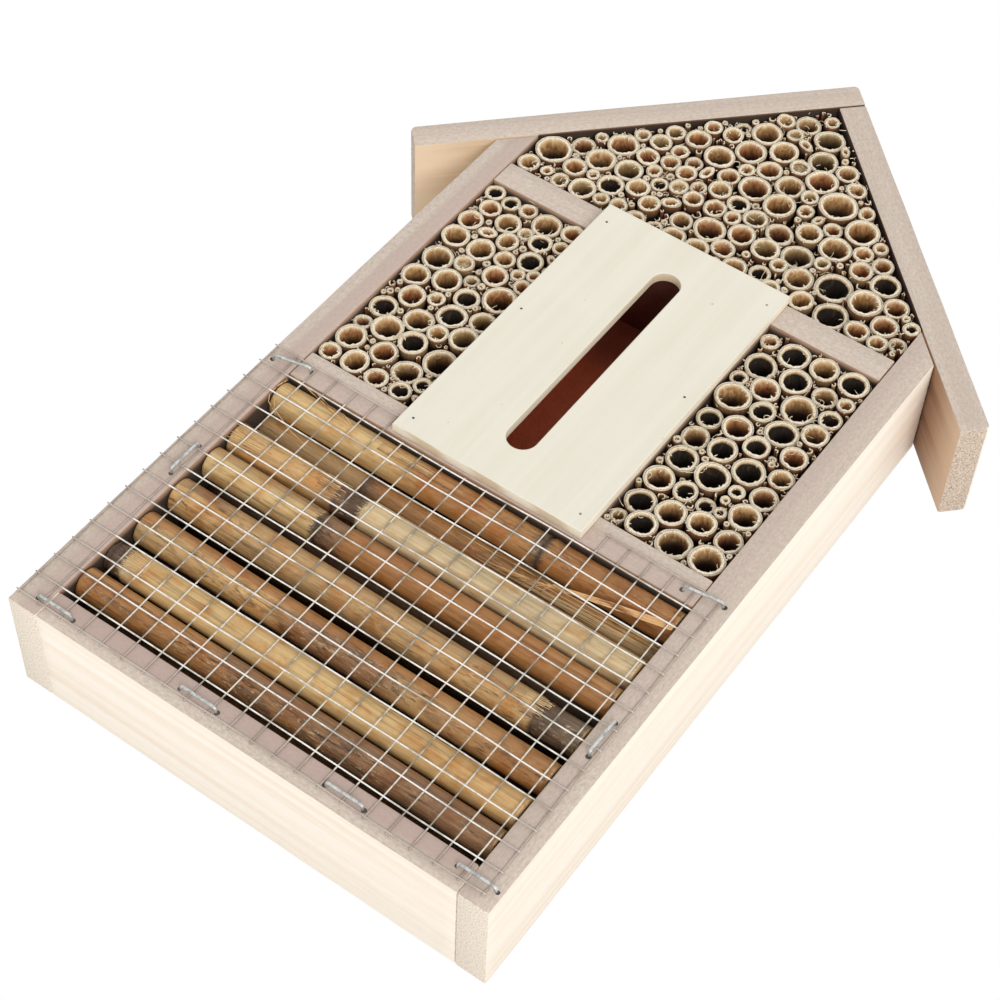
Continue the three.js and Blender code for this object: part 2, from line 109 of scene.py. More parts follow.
class Shader:
    """A material's node tree, with a short call for each kind of node used."""

    def __init__(self, name):
        self.material = bpy.data.materials.new(name)
        self.material.use_nodes = True
        self.tree = self.material.node_tree
        self.tree.nodes.clear()
        self.surface = self.node("ShaderNodeBsdfPrincipled")
        output = self.node("ShaderNodeOutputMaterial")
        self.tree.links.new(self.surface.outputs[0], output.inputs["Surface"])

    def node(self, kind, inputs=None, **settings):
        node = self.tree.nodes.new(kind)
        for key, value in settings.items():
            setattr(node, key, value)
        for key, value in (inputs or {}).items():
            self.put(node.inputs[key], value)
        return node

    def put(self, socket, value):
        if isinstance(value, bpy.types.NodeSocket):
            self.tree.links.new(value, socket)
        else:
            socket.default_value = value

    def place(self, scale=(1, 1, 1), turn=(0, 0, 0), shift=(0, 0, 0)):
        """Object coordinates in millimetres, then stretched and turned."""
        coordinates = self.node("ShaderNodeTexCoord").outputs["Object"]
        turned = self.node("ShaderNodeMapping", {"Vector": coordinates, "Rotation": turn})
        stretched = [part / MM for part in scale]
        mapped = {"Vector": turned.outputs[0], "Scale": stretched, "Location": shift}
        return self.node("ShaderNodeMapping", mapped).outputs[0]

    def noise(self, scale, detail, roughness, distortion=0, shift=(0, 0, 0), turn=(0, 0, 0)):
        """Grey noise, with scale as its cells to a millimetre along each axis."""
        inputs = {
            "Vector": self.place(scale, turn, shift), "Scale": 1, "Detail": detail,
            "Roughness": roughness, "Distortion": distortion,
        }
        return self.node("ShaderNodeTexNoise", inputs).outputs[0]

    def ramp(self, factor, *stops):
        """stops are (position, colour or grey)."""
        node = self.node("ShaderNodeValToRGB", {"Fac": factor})
        elements = node.color_ramp.elements
        while len(elements) < len(stops):
            elements.new(0.5)
        for element, (position, colour) in zip(elements, stops):
            element.position = position
            element.color = colour4(colour)
        return node.outputs[0]

    def mix(self, factor, a, b, blend="MIX"):
        node = self.node("ShaderNodeMix", data_type="RGBA", blend_type=blend)
        self.put(node.inputs["Factor"], factor)
        self.put(node.inputs[6], a if isinstance(a, bpy.types.NodeSocket) else colour4(a))
        self.put(node.inputs[7], b if isinstance(b, bpy.types.NodeSocket) else colour4(b))
        return node.outputs[2]

    def maths(self, operation, a, b=0.0, clamp=False):
        node = self.node("ShaderNodeMath", operation=operation, use_clamp=clamp)
        self.put(node.inputs[0], a)
        self.put(node.inputs[1], b)
        return node.outputs[0]

    def times(self, a, b):
        return self.maths("MULTIPLY", a, b)

    def step(self, value, low, high):
        """0 below low, 1 above high, smooth between."""
        inputs = {"Value": value, "From Min": low, "From Max": high}
        node = self.node("ShaderNodeMapRange", inputs, interpolation_type="SMOOTHSTEP")
        return node.outputs[0]

    def axis(self, vector, name):
        return self.node("ShaderNodeSeparateXYZ", {"Vector": vector}).outputs[name]

    def off_centre(self, vector, name):
        return self.maths("ABSOLUTE", self.axis(vector, name))

    def along(self, vector, direction):
        inputs = {0: vector, 1: tuple(direction)}
        return self.node("ShaderNodeVectorMath", inputs, operation="DOT_PRODUCT").outputs["Value"]

    def attribute(self, name):
        return self.node("ShaderNodeAttribute", attribute_name=name).outputs["Fac"]

    def finish(self, colour, roughness, height=None, depth=0.1, **constants):
        """Sets the surface. depth is the bump's full height in millimetres."""
        self.put(self.surface.inputs["Base Color"], colour)
        self.put(self.surface.inputs["Roughness"], roughness)
        for key, value in constants.items():
            self.surface.inputs[key.replace("_", " ")].default_value = value
        if height is not None:
            inputs = {"Height": height, "Distance": depth * MM, "Strength": 1.0}
            bump = self.node("ShaderNodeBump", inputs)
            self.put(self.surface.inputs["Normal"], bump.outputs[0])
        return self.material


def colour4(colour):
    if isinstance(colour, (int, float)):
        return (colour, colour, colour, 1)
    return (*colour, 1) if len(colour) == 3 else colour


def tone(red, green, blue):
    """A colour in everyday 0 to 255 numbers, as the linear one shaders use."""
    def linear(value):
        value /= 255
        return value / 12.92 if value <= 0.04045 else ((value + 0.055) / 1.055) ** 2.4
    return (linear(red), linear(green), linear(blue))


# ---- materials

PLANED_DARK, PLANED, PLANED_LIGHT = tone(240, 224, 204), tone(245, 233, 217), tone(248, 239, 226)
SAWN_DARK, SAWN, SAWN_LIGHT = tone(178, 162, 148), tone(199, 184, 170), tone(216, 204, 192)
PALE_END = tone(196, 178, 158), tone(226, 212, 194), tone(240, 230, 216)
DARK_END = tone(140, 118, 100), tone(190, 170, 150), tone(216, 200, 184)
MAUVE = tone(178, 152, 143)
# Tint of the painted shade on the compartments' inner faces.
INSIDE_SHADE_TINT = tone(190, 162, 144)
# Inside the butterfly chamber: the red stain painted brighter, as painted light, and painted shade on the
# shelves.
CHAMBER_RED = tone(208, 108, 74)
CHAMBER_SHADE = tone(112, 64, 52)
SHADOW = tone(34, 20, 12)


def pine(name, long_way, seed, under=None, mauve=None, ends=PALE_END):
    """Planed faces are creamy, sawn front and back edges are greyer, and end grain
    is speckled. long_way is the grain's direction. under is (face direction, dark,
    light, eave) for a browner underside: the wood's tan with painted shade, darkest by the wall, turning
    to the last colour at the eave.
    mauve is (axis, from, to, strength), in millimetres: the band of the sawn edge
    under the wire mesh, given painted shadow in mauve grey. ends are the end grain's three colours."""
    s = Shader(name)
    turn = (0, -math.atan2(long_way.x, long_way.z), 0)
    grain = s.noise((0.30, 0.30, 0.006), 4, 0.55, 0.5, shift=(seed, 0, 0), turn=turn)
    fibre = s.noise((4, 4, 0.15), 3, 0.6, shift=(0, seed, 0), turn=turn)
    cloud = s.noise((0.05, 0.05, 0.05), 3, 0.5, shift=(seed, seed, 0), turn=turn)
    fuzz = s.noise((1.6, 1.6, 0.8), 6, 0.7, shift=(0, 0, seed), turn=turn)
    dots = s.noise((2.2, 2.2, 2.2), 3, 0.6)
    face = s.ramp(grain, (0.32, PLANED_DARK), (0.50, PLANED), (0.72, PLANED_LIGHT))
    pores = s.ramp(fibre, (0.28, 0.88), (0.44, 1.0))
    face = s.mix(1.0, face, pores, "MULTIPLY")
    edge = s.ramp(fuzz, (0.28, SAWN_DARK), (0.50, SAWN), (0.74, SAWN_LIGHT))
    edge = s.mix(s.times(s.step(grain, 0.40, 0.62), 0.35), edge, SAWN_DARK)
    # Painted shadow of the wire mesh: a mauve grey band where the mesh lies over the edge.
    if mauve:
        axis, start, stop, strength = mauve
        ragged = s.maths("ADD", s.axis(s.place(), axis), s.times(cloud, 2.0))
        band = s.step(ragged, start + 1.0, stop + 1.0)
        edge = s.mix(s.times(band, strength), edge, MAUVE)
    ends = s.ramp(dots, *zip((0.34, 0.46, 0.66), ends))
    normal = s.node("ShaderNodeNewGeometry").outputs["Normal"]
    sawn = s.step(s.off_centre(normal, "Y"), 0.45, 0.9)
    colour = s.mix(sawn, face, edge)
    colour = s.mix(s.step(s.maths("ABSOLUTE", s.along(normal, long_way)), 0.8, 0.95), colour, ends)
    if under:
        facing, dark, light, eave = under
        brown = s.ramp(grain, (0.32, dark), (0.68, light))
        # Painted shade: the underside is darkest by the wall and lightens out to the eave.
        outwards = s.step(s.off_centre(s.place(), "X"), OUTER_WALL + 1, OUTER_WALL + 17)
        brown = s.mix(s.times(outwards, 0.85), brown, eave)
        downwards = s.step(s.along(normal, facing), 0.8, 0.95)
        colour = s.mix(downwards, colour, brown)
    # Painted shade on the compartments' inner faces: darker the deeper they lie behind the front, and
    # tinted a darker brown grey.
    place = s.place()
    inside = s.step(s.off_centre(place, "X"), INNER_WALL + 0.4, INNER_WALL + 0.2)
    inside = s.times(inside, s.step(s.axis(place, "Z"), BASE_TOP - 0.3, BASE_TOP - 0.1))
    inside = s.times(inside, s.maths("SUBTRACT", 1.0, sawn))
    if under:
        inside = s.times(inside, downwards)
    inside_shade = s.mix(1.0, colour, depth_shade(s, -0.2, 0.8 if under else 2.6, 0.12), "MULTIPLY")
    colour = s.mix(inside, colour, s.mix(1.0, inside_shade, INSIDE_SHADE_TINT, "MULTIPLY"))
    # Inside the butterfly chamber: walls get the red stain painted brighter as painted light, shelves get
    # painted shade.
    colour = s.mix(chamber_mask(s), colour, CHAMBER_SHADE if "shelf" in name else CHAMBER_RED)
    roughness = s.ramp(fibre, (0.3, 0.86), (0.7, 0.70))
    height = s.maths("ADD", s.times(fibre, 0.4), s.times(fuzz, 0.6))
    return s.finish(colour, roughness, height, 0.20)


def chamber_mask(s):
    """1 on the surfaces inside the butterfly chamber, 0 elsewhere: there the red stain is painted
    brighter, as painted light, and the shelves get painted shade.
    """
    low, high = (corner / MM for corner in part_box("right_chamber_wall"))
    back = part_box("back_panel")[1].y / MM
    place = s.place()
    inside = s.step(s.off_centre(place, "X"), low.x + 0.2, low.x + 0.1)
    above = s.step(s.axis(place, "Z"), low.z - 0.4, low.z - 0.2)
    below = s.step(s.axis(place, "Z"), high.z + 0.4, high.z + 0.2)
    behind = s.step(s.axis(place, "Y"), low.y + 0.2, low.y + 0.4)
    before = s.step(s.axis(place, "Y"), back - 1.0, back - 1.4)
    mask = s.times(inside, s.times(above, below))
    return s.times(mask, s.times(behind, before))


def plywood():
    s = Shader("pale_plywood")
    grain = s.noise((0.30, 0.30, 0.012), 4, 0.5, 0.6)
    cloud = s.noise((0.06, 0.06, 0.06), 3, 0.5)
    fibre = s.noise((3, 3, 0.3), 4, 0.6)
    specks = s.noise((0.55, 0.55, 0.55), 2, 0.4)
    colour = s.ramp(grain, (0.30, tone(219, 213, 196)), (0.7, tone(224, 219, 203)))
    colour = s.mix(s.times(s.step(cloud, 0.45, 0.75), 0.35), colour, tone(226, 222, 208))
    colour = s.mix(s.times(s.step(specks, 0.76, 0.80), 0.5), colour, tone(168, 152, 128))
    normal = s.node("ShaderNodeNewGeometry").outputs["Normal"]
    facing = s.step(s.off_centre(normal, "Y"), 0.4, 0.8)
    waves = {"Vector": s.place((0.05, 1, 0.05)), "Scale": 0.33, "Distortion": 1.5}
    layers = s.node("ShaderNodeTexWave", waves).outputs["Fac"]
    cut = s.ramp(layers, (0.2, tone(216, 198, 168)), (0.8, tone(240, 230, 210)))
    colour = s.mix(facing, cut, colour)
    return s.finish(colour, s.ramp(fibre, (0.3, 0.72), (0.7, 0.58)), fibre, 0.04)


def hardboard():
    """Brown board, stained red where it closes the butterfly chamber: the red is painted brighter, as
    painted light, and darker towards the top, as painted shade.
    """
    s = Shader("brown_hardboard")
    fibre = s.noise((1.2, 1.2, 1.2), 8, 0.7, 1.2)
    cloud = s.noise((0.04, 0.04, 0.04), 3, 0.5)
    brown = tone(112, 76, 50), tone(146, 104, 70), tone(172, 130, 92)
    colour = s.ramp(fibre, *zip((0.30, 0.52, 0.75), brown))
    colour = s.mix(s.step(cloud, 0.4, 0.7), colour, tone(132, 92, 62))
    red = s.ramp(fibre, (0.30, tone(218, 116, 76)), (0.7, tone(244, 142, 100)))
    # Painted shadow: the red darkens above about 160 mm.
    upper = s.step(s.axis(s.place(), "Z"), 158, 172)
    red = s.mix(upper, red, tone(170, 96, 70))
    colour = s.mix(chamber_mask(s), colour, red)
    return s.finish(colour, s.ramp(fibre, (0.3, 0.85), (0.7, 0.65)), fibre, 0.12)


def depth_shade(s, start, stop, darkest):
    """A grey that falls from 1 at start to darkest at stop, both millimetres
    behind the front of the boards: painted shade for what lies deep in a stack."""
    depth = s.maths("SUBTRACT", s.axis(s.place(), "Y"), FRONT / MM)
    inputs = {
        "Value": depth, "From Min": start, "From Max": stop,
        "To Min": 1.0, "To Max": darkest,
    }
    node = s.node("ShaderNodeMapRange", inputs, interpolation_type="SMOOTHSTEP")
    return node.outputs[0]


def reed_skin():
    """Outer skin, which goes dark just behind the cut end: painted shade between the reeds."""
    s = Shader("reed_skin")
    hue = s.attribute("hue")
    streak = s.noise((2.2, 0.06, 2.2), 4, 0.6)
    pale = s.ramp(streak, (0.3, tone(170, 120, 76)), (0.7, tone(216, 182, 132)))
    dark = s.ramp(streak, (0.3, tone(118, 62, 36)), (0.7, tone(172, 108, 64)))
    colour = s.mix(hue, dark, pale)
    colour = s.mix(s.attribute("mouth"), SHADOW, colour)
    return s.finish(colour, s.ramp(streak, (0.3, 0.62), (0.7, 0.45)), streak, 0.08)


def reed_rim():
    s = Shader("reed_cut_end")
    hue = s.attribute("hue")
    pores = s.noise((3.5, 0.8, 3.5), 5, 0.7)
    patch = s.noise((0.5, 0.2, 0.5), 3, 0.5)
    rim = tone(150, 114, 74), tone(236, 218, 184), tone(255, 248, 230)
    colour = s.ramp(pores, *zip((0.30, 0.42, 0.56), rim))
    colour = s.mix(s.times(hue, 0.25), colour, tone(216, 200, 170))
    colour = s.mix(s.times(s.step(patch, 0.56, 0.74), 0.5), colour, tone(180, 148, 106))
    colour = s.mix(s.attribute("darkening"), colour, tone(96, 70, 46))
    return s.finish(colour, 0.85, pores, 0.35)


def reed_bore():
    """The wall of the bore: pale by the mouth as painted light, then tan, and darker inside as painted
    shade.
    """
    s = Shader("reed_bore")
    kind = s.attribute("kind")
    streak = s.noise((0.75, 0.30, 0.75), 6, 0.62, 0.9)
    pale = s.ramp(streak, (0.28, tone(196, 160, 112)), (0.7, tone(242, 226, 190)))

    def wall(stops, *colours):
        return s.ramp(streak, *zip(stops, colours))

    tan = wall((0.34, 0.5, 0.66), tone(140, 92, 48), tone(192, 144, 88), tone(224, 188, 136))
    orange = wall((0.34, 0.5, 0.66), tone(124, 66, 32), tone(180, 116, 66), tone(212, 156, 102))
    olive = wall((0.30, 0.5, 0.72), tone(126, 98, 58), tone(160, 130, 82), tone(194, 168, 118))
    black = wall((0.3, 0.55, 0.75), tone(22, 15, 10), tone(44, 32, 22), tone(92, 72, 50))
    inner = s.mix(s.step(kind, 0.30, 0.42), orange, tan)
    inner = s.mix(s.step(kind, 0.86, 0.90), inner, olive)
    colour = s.mix(s.attribute("mouth"), inner, pale)
    # Painted shade: the bore darkens to deep brown from 1.2 to 7.5 mm behind the front.
    lit = depth_shade(s, 1.2, 7.5, 0.0)
    colour = s.mix(lit, tone(52, 28, 14), colour)
    colour = s.mix(s.attribute("darkening"), colour, black)
    return s.finish(colour, 0.8, streak, 0.3)


def reed_pith():
    s = Shader("reed_pith")
    crumb = s.noise((2.6, 2.6, 2.6), 6, 0.7, 1.0)
    pith = tone(104, 72, 44), tone(186, 156, 114), tone(226, 208, 172)
    colour = s.ramp(crumb, *zip((0.32, 0.46, 0.65), pith))
    return s.finish(colour, 0.9, crumb, 0.6)


def bamboo(name, details, seed):
    """Sheath colours along the cane, as (millimetres across, colour) stops, with
    another list for the lower half where it differs. The joins between colours
    are ragged, because the sheath tears along its fibres. Where the cane is rough
    its skin is cracked, stained and scuffed."""
    s = Shader(name)
    stops, under, rough = details["stops"], details.get("under"), details["rough"]
    low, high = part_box(name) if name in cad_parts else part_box("front_cane_1")
    middle = (low.z + high.z) / 2 / MM
    fine = s.noise((0.06, 3.2, 3.2), 4, 0.7, shift=(seed, 0, 0))
    streak = s.noise((0.022, 0.8, 0.8), 5, 0.6, 0.3, shift=(0, seed, 0))
    mottle = s.noise((0.11, 0.20, 0.20), 4, 0.55, 0.4, shift=(0, 0, seed))
    patch = s.noise((0.10, 0.50, 0.50), 7, 0.70, 0.9, shift=(seed, 0, seed))
    scuff = s.noise((0.40, 1.4, 1.4), 6, 0.72, 0.6, shift=(seed, seed, 0))
    crack = s.noise((0.13, 1.5, 1.5), 6, 0.72, 1.1, shift=(0, seed, seed))
    fray = s.times(s.maths("SUBTRACT", fine, 0.5), 7.0)
    across = s.maths("ADD", s.axis(s.place(), "X"), fray)

    def along(stops):
        first, span = stops[0][0], stops[-1][0] - stops[0][0]
        share = s.maths("DIVIDE", s.maths("SUBTRACT", across, first), span)
        return s.ramp(share, *[((x - first) / span, colour) for x, colour in stops])

    base = along(stops)
    wear = s.axis(along(rough), "X")
    if under:
        height = s.maths("SUBTRACT", s.axis(s.place(), "Z"), middle)
        height = s.maths("ADD", height, s.times(s.maths("SUBTRACT", streak, 0.5), 3.0))
        lower = s.step(height, 0.6, -0.4)
        base = s.mix(lower, base, along(under))
        smooth_top = s.maths("ADD", s.times(lower, 0.75), 0.25)
        wear = s.times(wear, smooth_top)
    warm = s.mix(1.0, base, tone(238, 204, 160), "MULTIPLY")
    colour = s.mix(s.times(s.step(mottle, 0.48, 0.66), 0.75), base, warm)
    shade = s.ramp(streak, (0.28, 0.42), (0.40, 0.82), (0.56, 1.0), (0.80, 1.14))
    colour = s.mix(1.0, colour, shade, "MULTIPLY")
    colour = s.mix(1.0, colour, s.ramp(fine, (0.30, 0.72), (0.5, 1.0)), "MULTIPLY")
    stain = s.times(s.step(patch, 0.50, 0.60), wear)
    colour = s.mix(stain, colour, s.mix(0.62, colour, tone(74, 58, 46)))
    worn = s.times(s.step(scuff, 0.56, 0.62), s.times(wear, 0.75))
    colour = s.mix(worn, colour, s.mix(0.6, colour, tone(218, 194, 154)))
    cracked = s.times(s.step(crack, 0.42, 0.37), s.maths("ADD", wear, 0.10, True))
    colour = s.mix(s.times(cracked, 0.85), colour, tone(42, 28, 18))
    colour = s.mix(s.times(s.attribute("knot"), 0.8), colour, tone(66, 50, 38))
    # Painted shade: canes deeper than 7 mm behind the front get darker.
    colour = s.mix(1.0, colour, depth_shade(s, 7.0, 14.0, 0.20), "MULTIPLY")
    roughness = s.ramp(streak, (0.3, 0.60), (0.7, 0.40))
    height = s.maths("ADD", s.times(fine, 0.35), s.times(streak, 0.65))
    height = s.maths("SUBTRACT", height, s.times(cracked, 0.8))
    return s.finish(colour, roughness, height, 0.14)


def cane_cut():
    s = Shader("cane_cut_end")
    pores = s.noise((3, 3, 3), 4, 0.7)
    colour = s.ramp(pores, (0.3, tone(120, 84, 52)), (0.6, tone(206, 172, 122)))
    return s.finish(colour, 0.85, pores, 0.3)


def galvanised(name, light, dark, metallic=0.5):
    s = Shader(name)
    spangle = s.noise((0.7, 0.7, 0.7), 4, 0.6)
    colour = s.ramp(spangle, (0.35, dark), (0.6, light))
    roughness = s.ramp(spangle, (0.3, 0.52), (0.7, 0.28))
    return s.finish(colour, roughness, spangle, 0.03, Metallic=metallic)


def mesh_wire(name, bright, dull):
    """Zinc that is bright over the canes and dull in spells, painted glints along the
    wire, and a darker wood grey where it lies on the boards: painted shade."""
    s = Shader(name)
    spell = s.noise((0.16, 0.16, 0.16), 4, 0.6)
    spangle = s.noise((1.4, 1.4, 1.4), 3, 0.6)
    # Painted glints: spells of bright and dull along the wire.
    colour = s.mix(s.step(spell, 0.44, 0.62), bright, dull)
    colour = s.mix(s.times(s.step(spangle, 0.56, 0.66), 0.5), colour, dull)
    place = s.place()
    over_side = s.step(s.off_centre(place, "X"), INNER_WALL - 0.2, INNER_WALL + 0.4)
    over_base = s.step(s.axis(place, "Z"), BASE_TOP + 0.2, BASE_TOP - 0.4)
    over_shelf = s.step(s.axis(place, "Z"), SHELF_BOTTOM - 0.2, SHELF_BOTTOM + 0.4)
    on_wood = s.maths("MAXIMUM", over_side, s.maths("MAXIMUM", over_base, over_shelf))
    # Painted shade where the wire lies on the boards.
    colour = s.mix(s.times(on_wood, 0.75), colour, tone(176, 160, 148))
    return s.finish(colour, s.ramp(spangle, (0.3, 0.50), (0.7, 0.30)), spangle, 0.03, Metallic=0.4)


def fibre_strands(name, dark, light):
    s = Shader(name)
    streak = s.noise((0.05, 0.9, 0.9), 4, 0.6)
    return s.finish(s.ramp(streak, (0.36, dark), (0.50, light)), 0.75)


# ---- mesh pieces

def add_piece(name, mesh, materials, slot, *nodes, smooth=True):
    """Links a mesh as a piece that rides on the body and stands for CAD nodes."""
    piece = bpy.data.objects.new(name, mesh)
    bpy.context.scene.collection.objects.link(piece)
    for material in materials:
        mesh.materials.append(material)
    mesh.polygons.foreach_set("use_smooth", [smooth] * len(mesh.polygons))
    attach(piece, "root")
    if nodes:
        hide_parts(*nodes)
    return piece


def mesh_from(bm, name):
    bmesh.ops.recalc_face_normals(bm, faces=bm.faces)
    mesh = bpy.data.meshes.new(name)
    bm.to_mesh(mesh)
    bm.free()
    return mesh


def smooth_by_angle(mesh, degrees=35):
    limit = math.radians(degrees)
    bm = bmesh.new()
    bm.from_mesh(mesh)
    for edge in bm.edges:
        edge.smooth = len(edge.link_faces) == 2 and edge.calc_face_angle(0) < limit
    bm.to_mesh(mesh)
    bm.free()


def bridge(bm, rings, part=0):
    """Joins each closed ring of vertices to the next one with quads."""
    for ring, following in zip(rings, rings[1:]):
        for k in range(len(ring)):
            m = (k + 1) % len(ring)
            bm.faces.new((ring[k], ring[m], following[m], following[k])).material_index = part


# ---- boards

def slice_along(bm, direction, length, pitch, start):
    """Cuts loops across a solid every pitch, so that it can be made uneven."""
    for index in range(1, int(length / pitch) + 1):
        geometry = bm.verts[:] + bm.edges[:] + bm.faces[:]
        place = start + direction * (index * pitch)
        bmesh.ops.bisect_plane(bm, geom=geometry, plane_co=place, plane_no=direction)


def add_board(node, outline, long_way, material, eased=0.5 * MM, rounded=()):
    """A board drawn from its front outline, as (x, z) corners. long_way is a unit
    vector along the grain, and rounded are the corners with a bigger radius."""
    low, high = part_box(node)
    bm = bmesh.new()
    face = bm.faces.new([bm.verts.new((x, low.y, z)) for x, z in outline])
    extruded = bmesh.ops.extrude_face_region(bm, geom=[face])
    moved = [item for item in extruded["geom"] if isinstance(item, bmesh.types.BMVert)]
    bmesh.ops.translate(bm, verts=moved, vec=(0, high.y - low.y, 0))
    bmesh.ops.recalc_face_normals(bm, faces=bm.faces)

    def on_rounded_corner(edge):
        places = [Vector((vert.co.x, vert.co.z)) for vert in edge.verts]
        return any(all((place - Vector(corner)).length < MM for place in places) for corner in rounded)

    big = [edge for edge in bm.edges if on_rounded_corner(edge)]
    if big:
        bmesh.ops.bevel(bm, geom=big, offset=ROUNDED_CORNER, segments=4, profile=0.5, affect="EDGES")
    sharp = [edge for edge in bm.edges if edge.calc_face_angle(0) > math.radians(40)]
    bmesh.ops.bevel(bm, geom=sharp, offset=eased, segments=2, profile=0.5, affect="EDGES")
    centre = (low + high) / 2
    reach = (high - low).length
    slice_along(bm, long_way, reach, BOARD_SLICE, centre - long_way * reach / 2)
    for vert in bm.verts:
        waver = noise.noise_vector(vert.co * 55) * BOARD_WAVER
        vert.co += waver - long_way * waver.dot(long_way)
    mesh = mesh_from(bm, node)
    smooth_by_angle(mesh)
    return add_piece(node + "_planed", mesh, [material], "pine", node)


def rectangle(node):
    low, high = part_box(node)
    return [(low.x, low.z), (high.x, low.z), (high.x, high.z), (low.x, high.z)]


def add_boards():
    vertical = Vector((0, 0, 1))
    level = Vector((1, 0, 0))
    for side, node in ((-1, "left_side_board"), (1, "right_side_board")):
        low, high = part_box(node)
        outer, inner = (low.x, high.x) if side < 0 else (high.x, low.x)
        top = high.z - (high.x - low.x)
        outline = [(outer, low.z), (inner, low.z), (inner, high.z), (outer, top)]
        mauve = ("X", side * 66.5, side * 64.5, 0.45 if side < 0 else 0.22)
        add_board(node, outline, vertical, pine(node, vertical, 3.7 * side, mauve=mauve))
    bands = {"base_board": ("Z", 2.6, 5.0, 0.72), "lower_shelf": ("Z", 101, 98, 0.4), "upper_shelf": None}
    for index, (node, mauve) in enumerate(bands.items()):
        add_board(node, rectangle(node), level, pine(node, level, 11.0 + index, mauve=mauve))
    for index, node in enumerate(("left_chamber_wall", "right_chamber_wall")):
        add_board(node, rectangle(node), vertical, pine(node, vertical, 21.0 + index))

    slant = ROOF_THICKNESS / math.sqrt(2)
    low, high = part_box("left_roof_board")
    ridge = [(high.x, high.z - slant), (high.x - slant, high.z)]
    eave = [(low.x + slant, low.z), (low.x, low.z + slant)]
    shades = tone(190, 162, 132), tone(212, 188, 158), tone(218, 194, 166)
    add_roof_board("left_roof_board", [eave[0], *ridge, eave[1]], 1, 31.0, shades, [ridge[1], eave[1]])
    low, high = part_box("right_roof_board")
    ridge = [(low.x + slant, high.z), (low.x, high.z - slant)]
    eave = [(high.x - slant, low.z), (high.x, low.z + slant)]
    # The right roof's underside is painted shade: dark brown by the wall, lighter at the eave.
    shades = tone(132, 95, 69), tone(168, 130, 101), tone(216, 186, 157)
    add_roof_board("right_roof_board", [*eave, *ridge], -1, 37.0, shades, [eave[1]])


def add_roof_board(node, outline, lean, seed, shades, rounded):
    """lean is 1 where the board rises to the right, and shades are its underside's colours, which carry
    painted shade darkest by the wall.
    """
    uphill = Vector((lean, 0, 1)).normalized()
    under = (Vector((lean, 0, -1)).normalized(), *shades)
    material = pine(node, uphill, seed, under, ends=DARK_END)
    add_board(node, outline, uphill, material, ROOF_EASED, rounded)


# ---- flat sheets with openings

def rounded_slot(x, bottom, top, radius, steps=16):
    """A closed slot outline with half-round ends, as (x, z) points."""
    points = []
    for centre, first in ((top - radius, 0), (bottom + radius, math.pi)):
        for step in range(steps + 1):
            angle = first + math.pi * step / steps
            points.append((x + radius * math.cos(angle), centre + radius * math.sin(angle)))
    return points


def keyhole_outline(steps=20):
    half = KEYHOLE_SLOT / 2
    shoulder = math.asin(half / KEYHOLE_RADIUS)
    start = math.pi / 2 + shoulder
    sweep = 2 * (math.pi - shoulder)
    points = []
    for step in range(steps + 1):
        angle = start + sweep * step / steps
        across, up = KEYHOLE_RADIUS * math.cos(angle), KEYHOLE_RADIUS * math.sin(angle)
        points.append((across, KEYHOLE_HEIGHT + up))
    for step in range(steps // 2 + 1):
        angle = math.pi * 2 * step / steps
        centre = KEYHOLE_HEIGHT + KEYHOLE_RISE - half
        points.append((half * math.cos(angle), centre + half * math.sin(angle)))
    return points


def add_sheet(node, outline, hole, material, slot, eased):
    """A flat sheet with a hole and eased edges, filled from a flat curve."""
    low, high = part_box(node)
    curve = bpy.data.curves.new(node + "_curve", "CURVE")
    curve.dimensions = "2D"
    curve.fill_mode = "BOTH"
    curve.extrude = (high.y - low.y) / 2 - eased
    curve.bevel_depth = eased
    curve.bevel_resolution = 2
    curve.offset = -eased
    for points in (outline, hole):
        spline = curve.splines.new("POLY")
        spline.points.add(len(points) - 1)
        for point, (x, z) in zip(spline.points, points):
            point.co = (x, z, 0, 1)
        spline.use_cyclic_u = True
    holder = bpy.data.objects.new(node + "_curve", curve)
    mesh = bpy.data.meshes.new_from_object(holder)
    bpy.data.objects.remove(holder)
    mesh.transform(Matrix.Rotation(math.pi / 2, 4, "X"))
    mesh.transform(Matrix.Translation((0, (low.y + high.y) / 2, 0)))
    smooth_by_angle(mesh, 50)
    mesh.materials.clear()
    return add_piece(node + "_sheet", mesh, [material], slot, node)


def add_front_plate():
    slot = rounded_slot(0, *PLATE_SLOT_ENDS, PLATE_SLOT_WIDTH / 2)
    add_sheet("butterfly_plate", rectangle("butterfly_plate"), slot, plywood(), "plywood", 0.3 * MM)


def add_back_panel():
    low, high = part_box("back_panel")
    shoulder = high.z - high.x
    outline = [(low.x, low.z), (high.x, low.z), (high.x, shoulder), (0, high.z), (low.x, shoulder)]
    add_sheet("back_panel", outline, keyhole_outline(), hardboard(), "hardboard", 0.2 * MM)


# ---- wires

def sweep(bm, points, section, across):
    """Sweeps a closed section, as (sideways, up) pairs, along points. across is
    the sideways direction that every ring keeps as near as it can."""
    rings = []
    for index, point in enumerate(points):
        before = points[max(index - 1, 0)]
        after = points[min(index + 1, len(points) - 1)]
        along = (after - before).normalized()
        sideways = (across - along * across.dot(along)).normalized()
        upward = sideways.cross(along)
        rings.append([bm.verts.new(point + sideways * u + upward * v) for u, v in section])
    bridge(bm, rings)
    bm.faces.new(rings[0][::-1])
    bm.faces.new(rings[-1])


def circle(radius, sides):
    turns = [2 * math.pi * k / sides for k in range(sides)]
    return [(radius * math.cos(turn), radius * math.sin(turn)) for turn in turns]


def rounded_bar(width, thickness, radius, steps=3):
    """A rectangle's outline with round corners."""
    points = []
    for quarter, (sx, sy) in enumerate(((1, 1), (-1, 1), (-1, -1), (1, -1))):
        for step in range(steps + 1):
            turn = (quarter + step / steps) * math.pi / 2
            u = sx * (width / 2 - radius) + radius * math.cos(turn)
            v = sy * (thickness / 2 - radius) + radius * math.sin(turn)
            points.append((u, v))
    return points


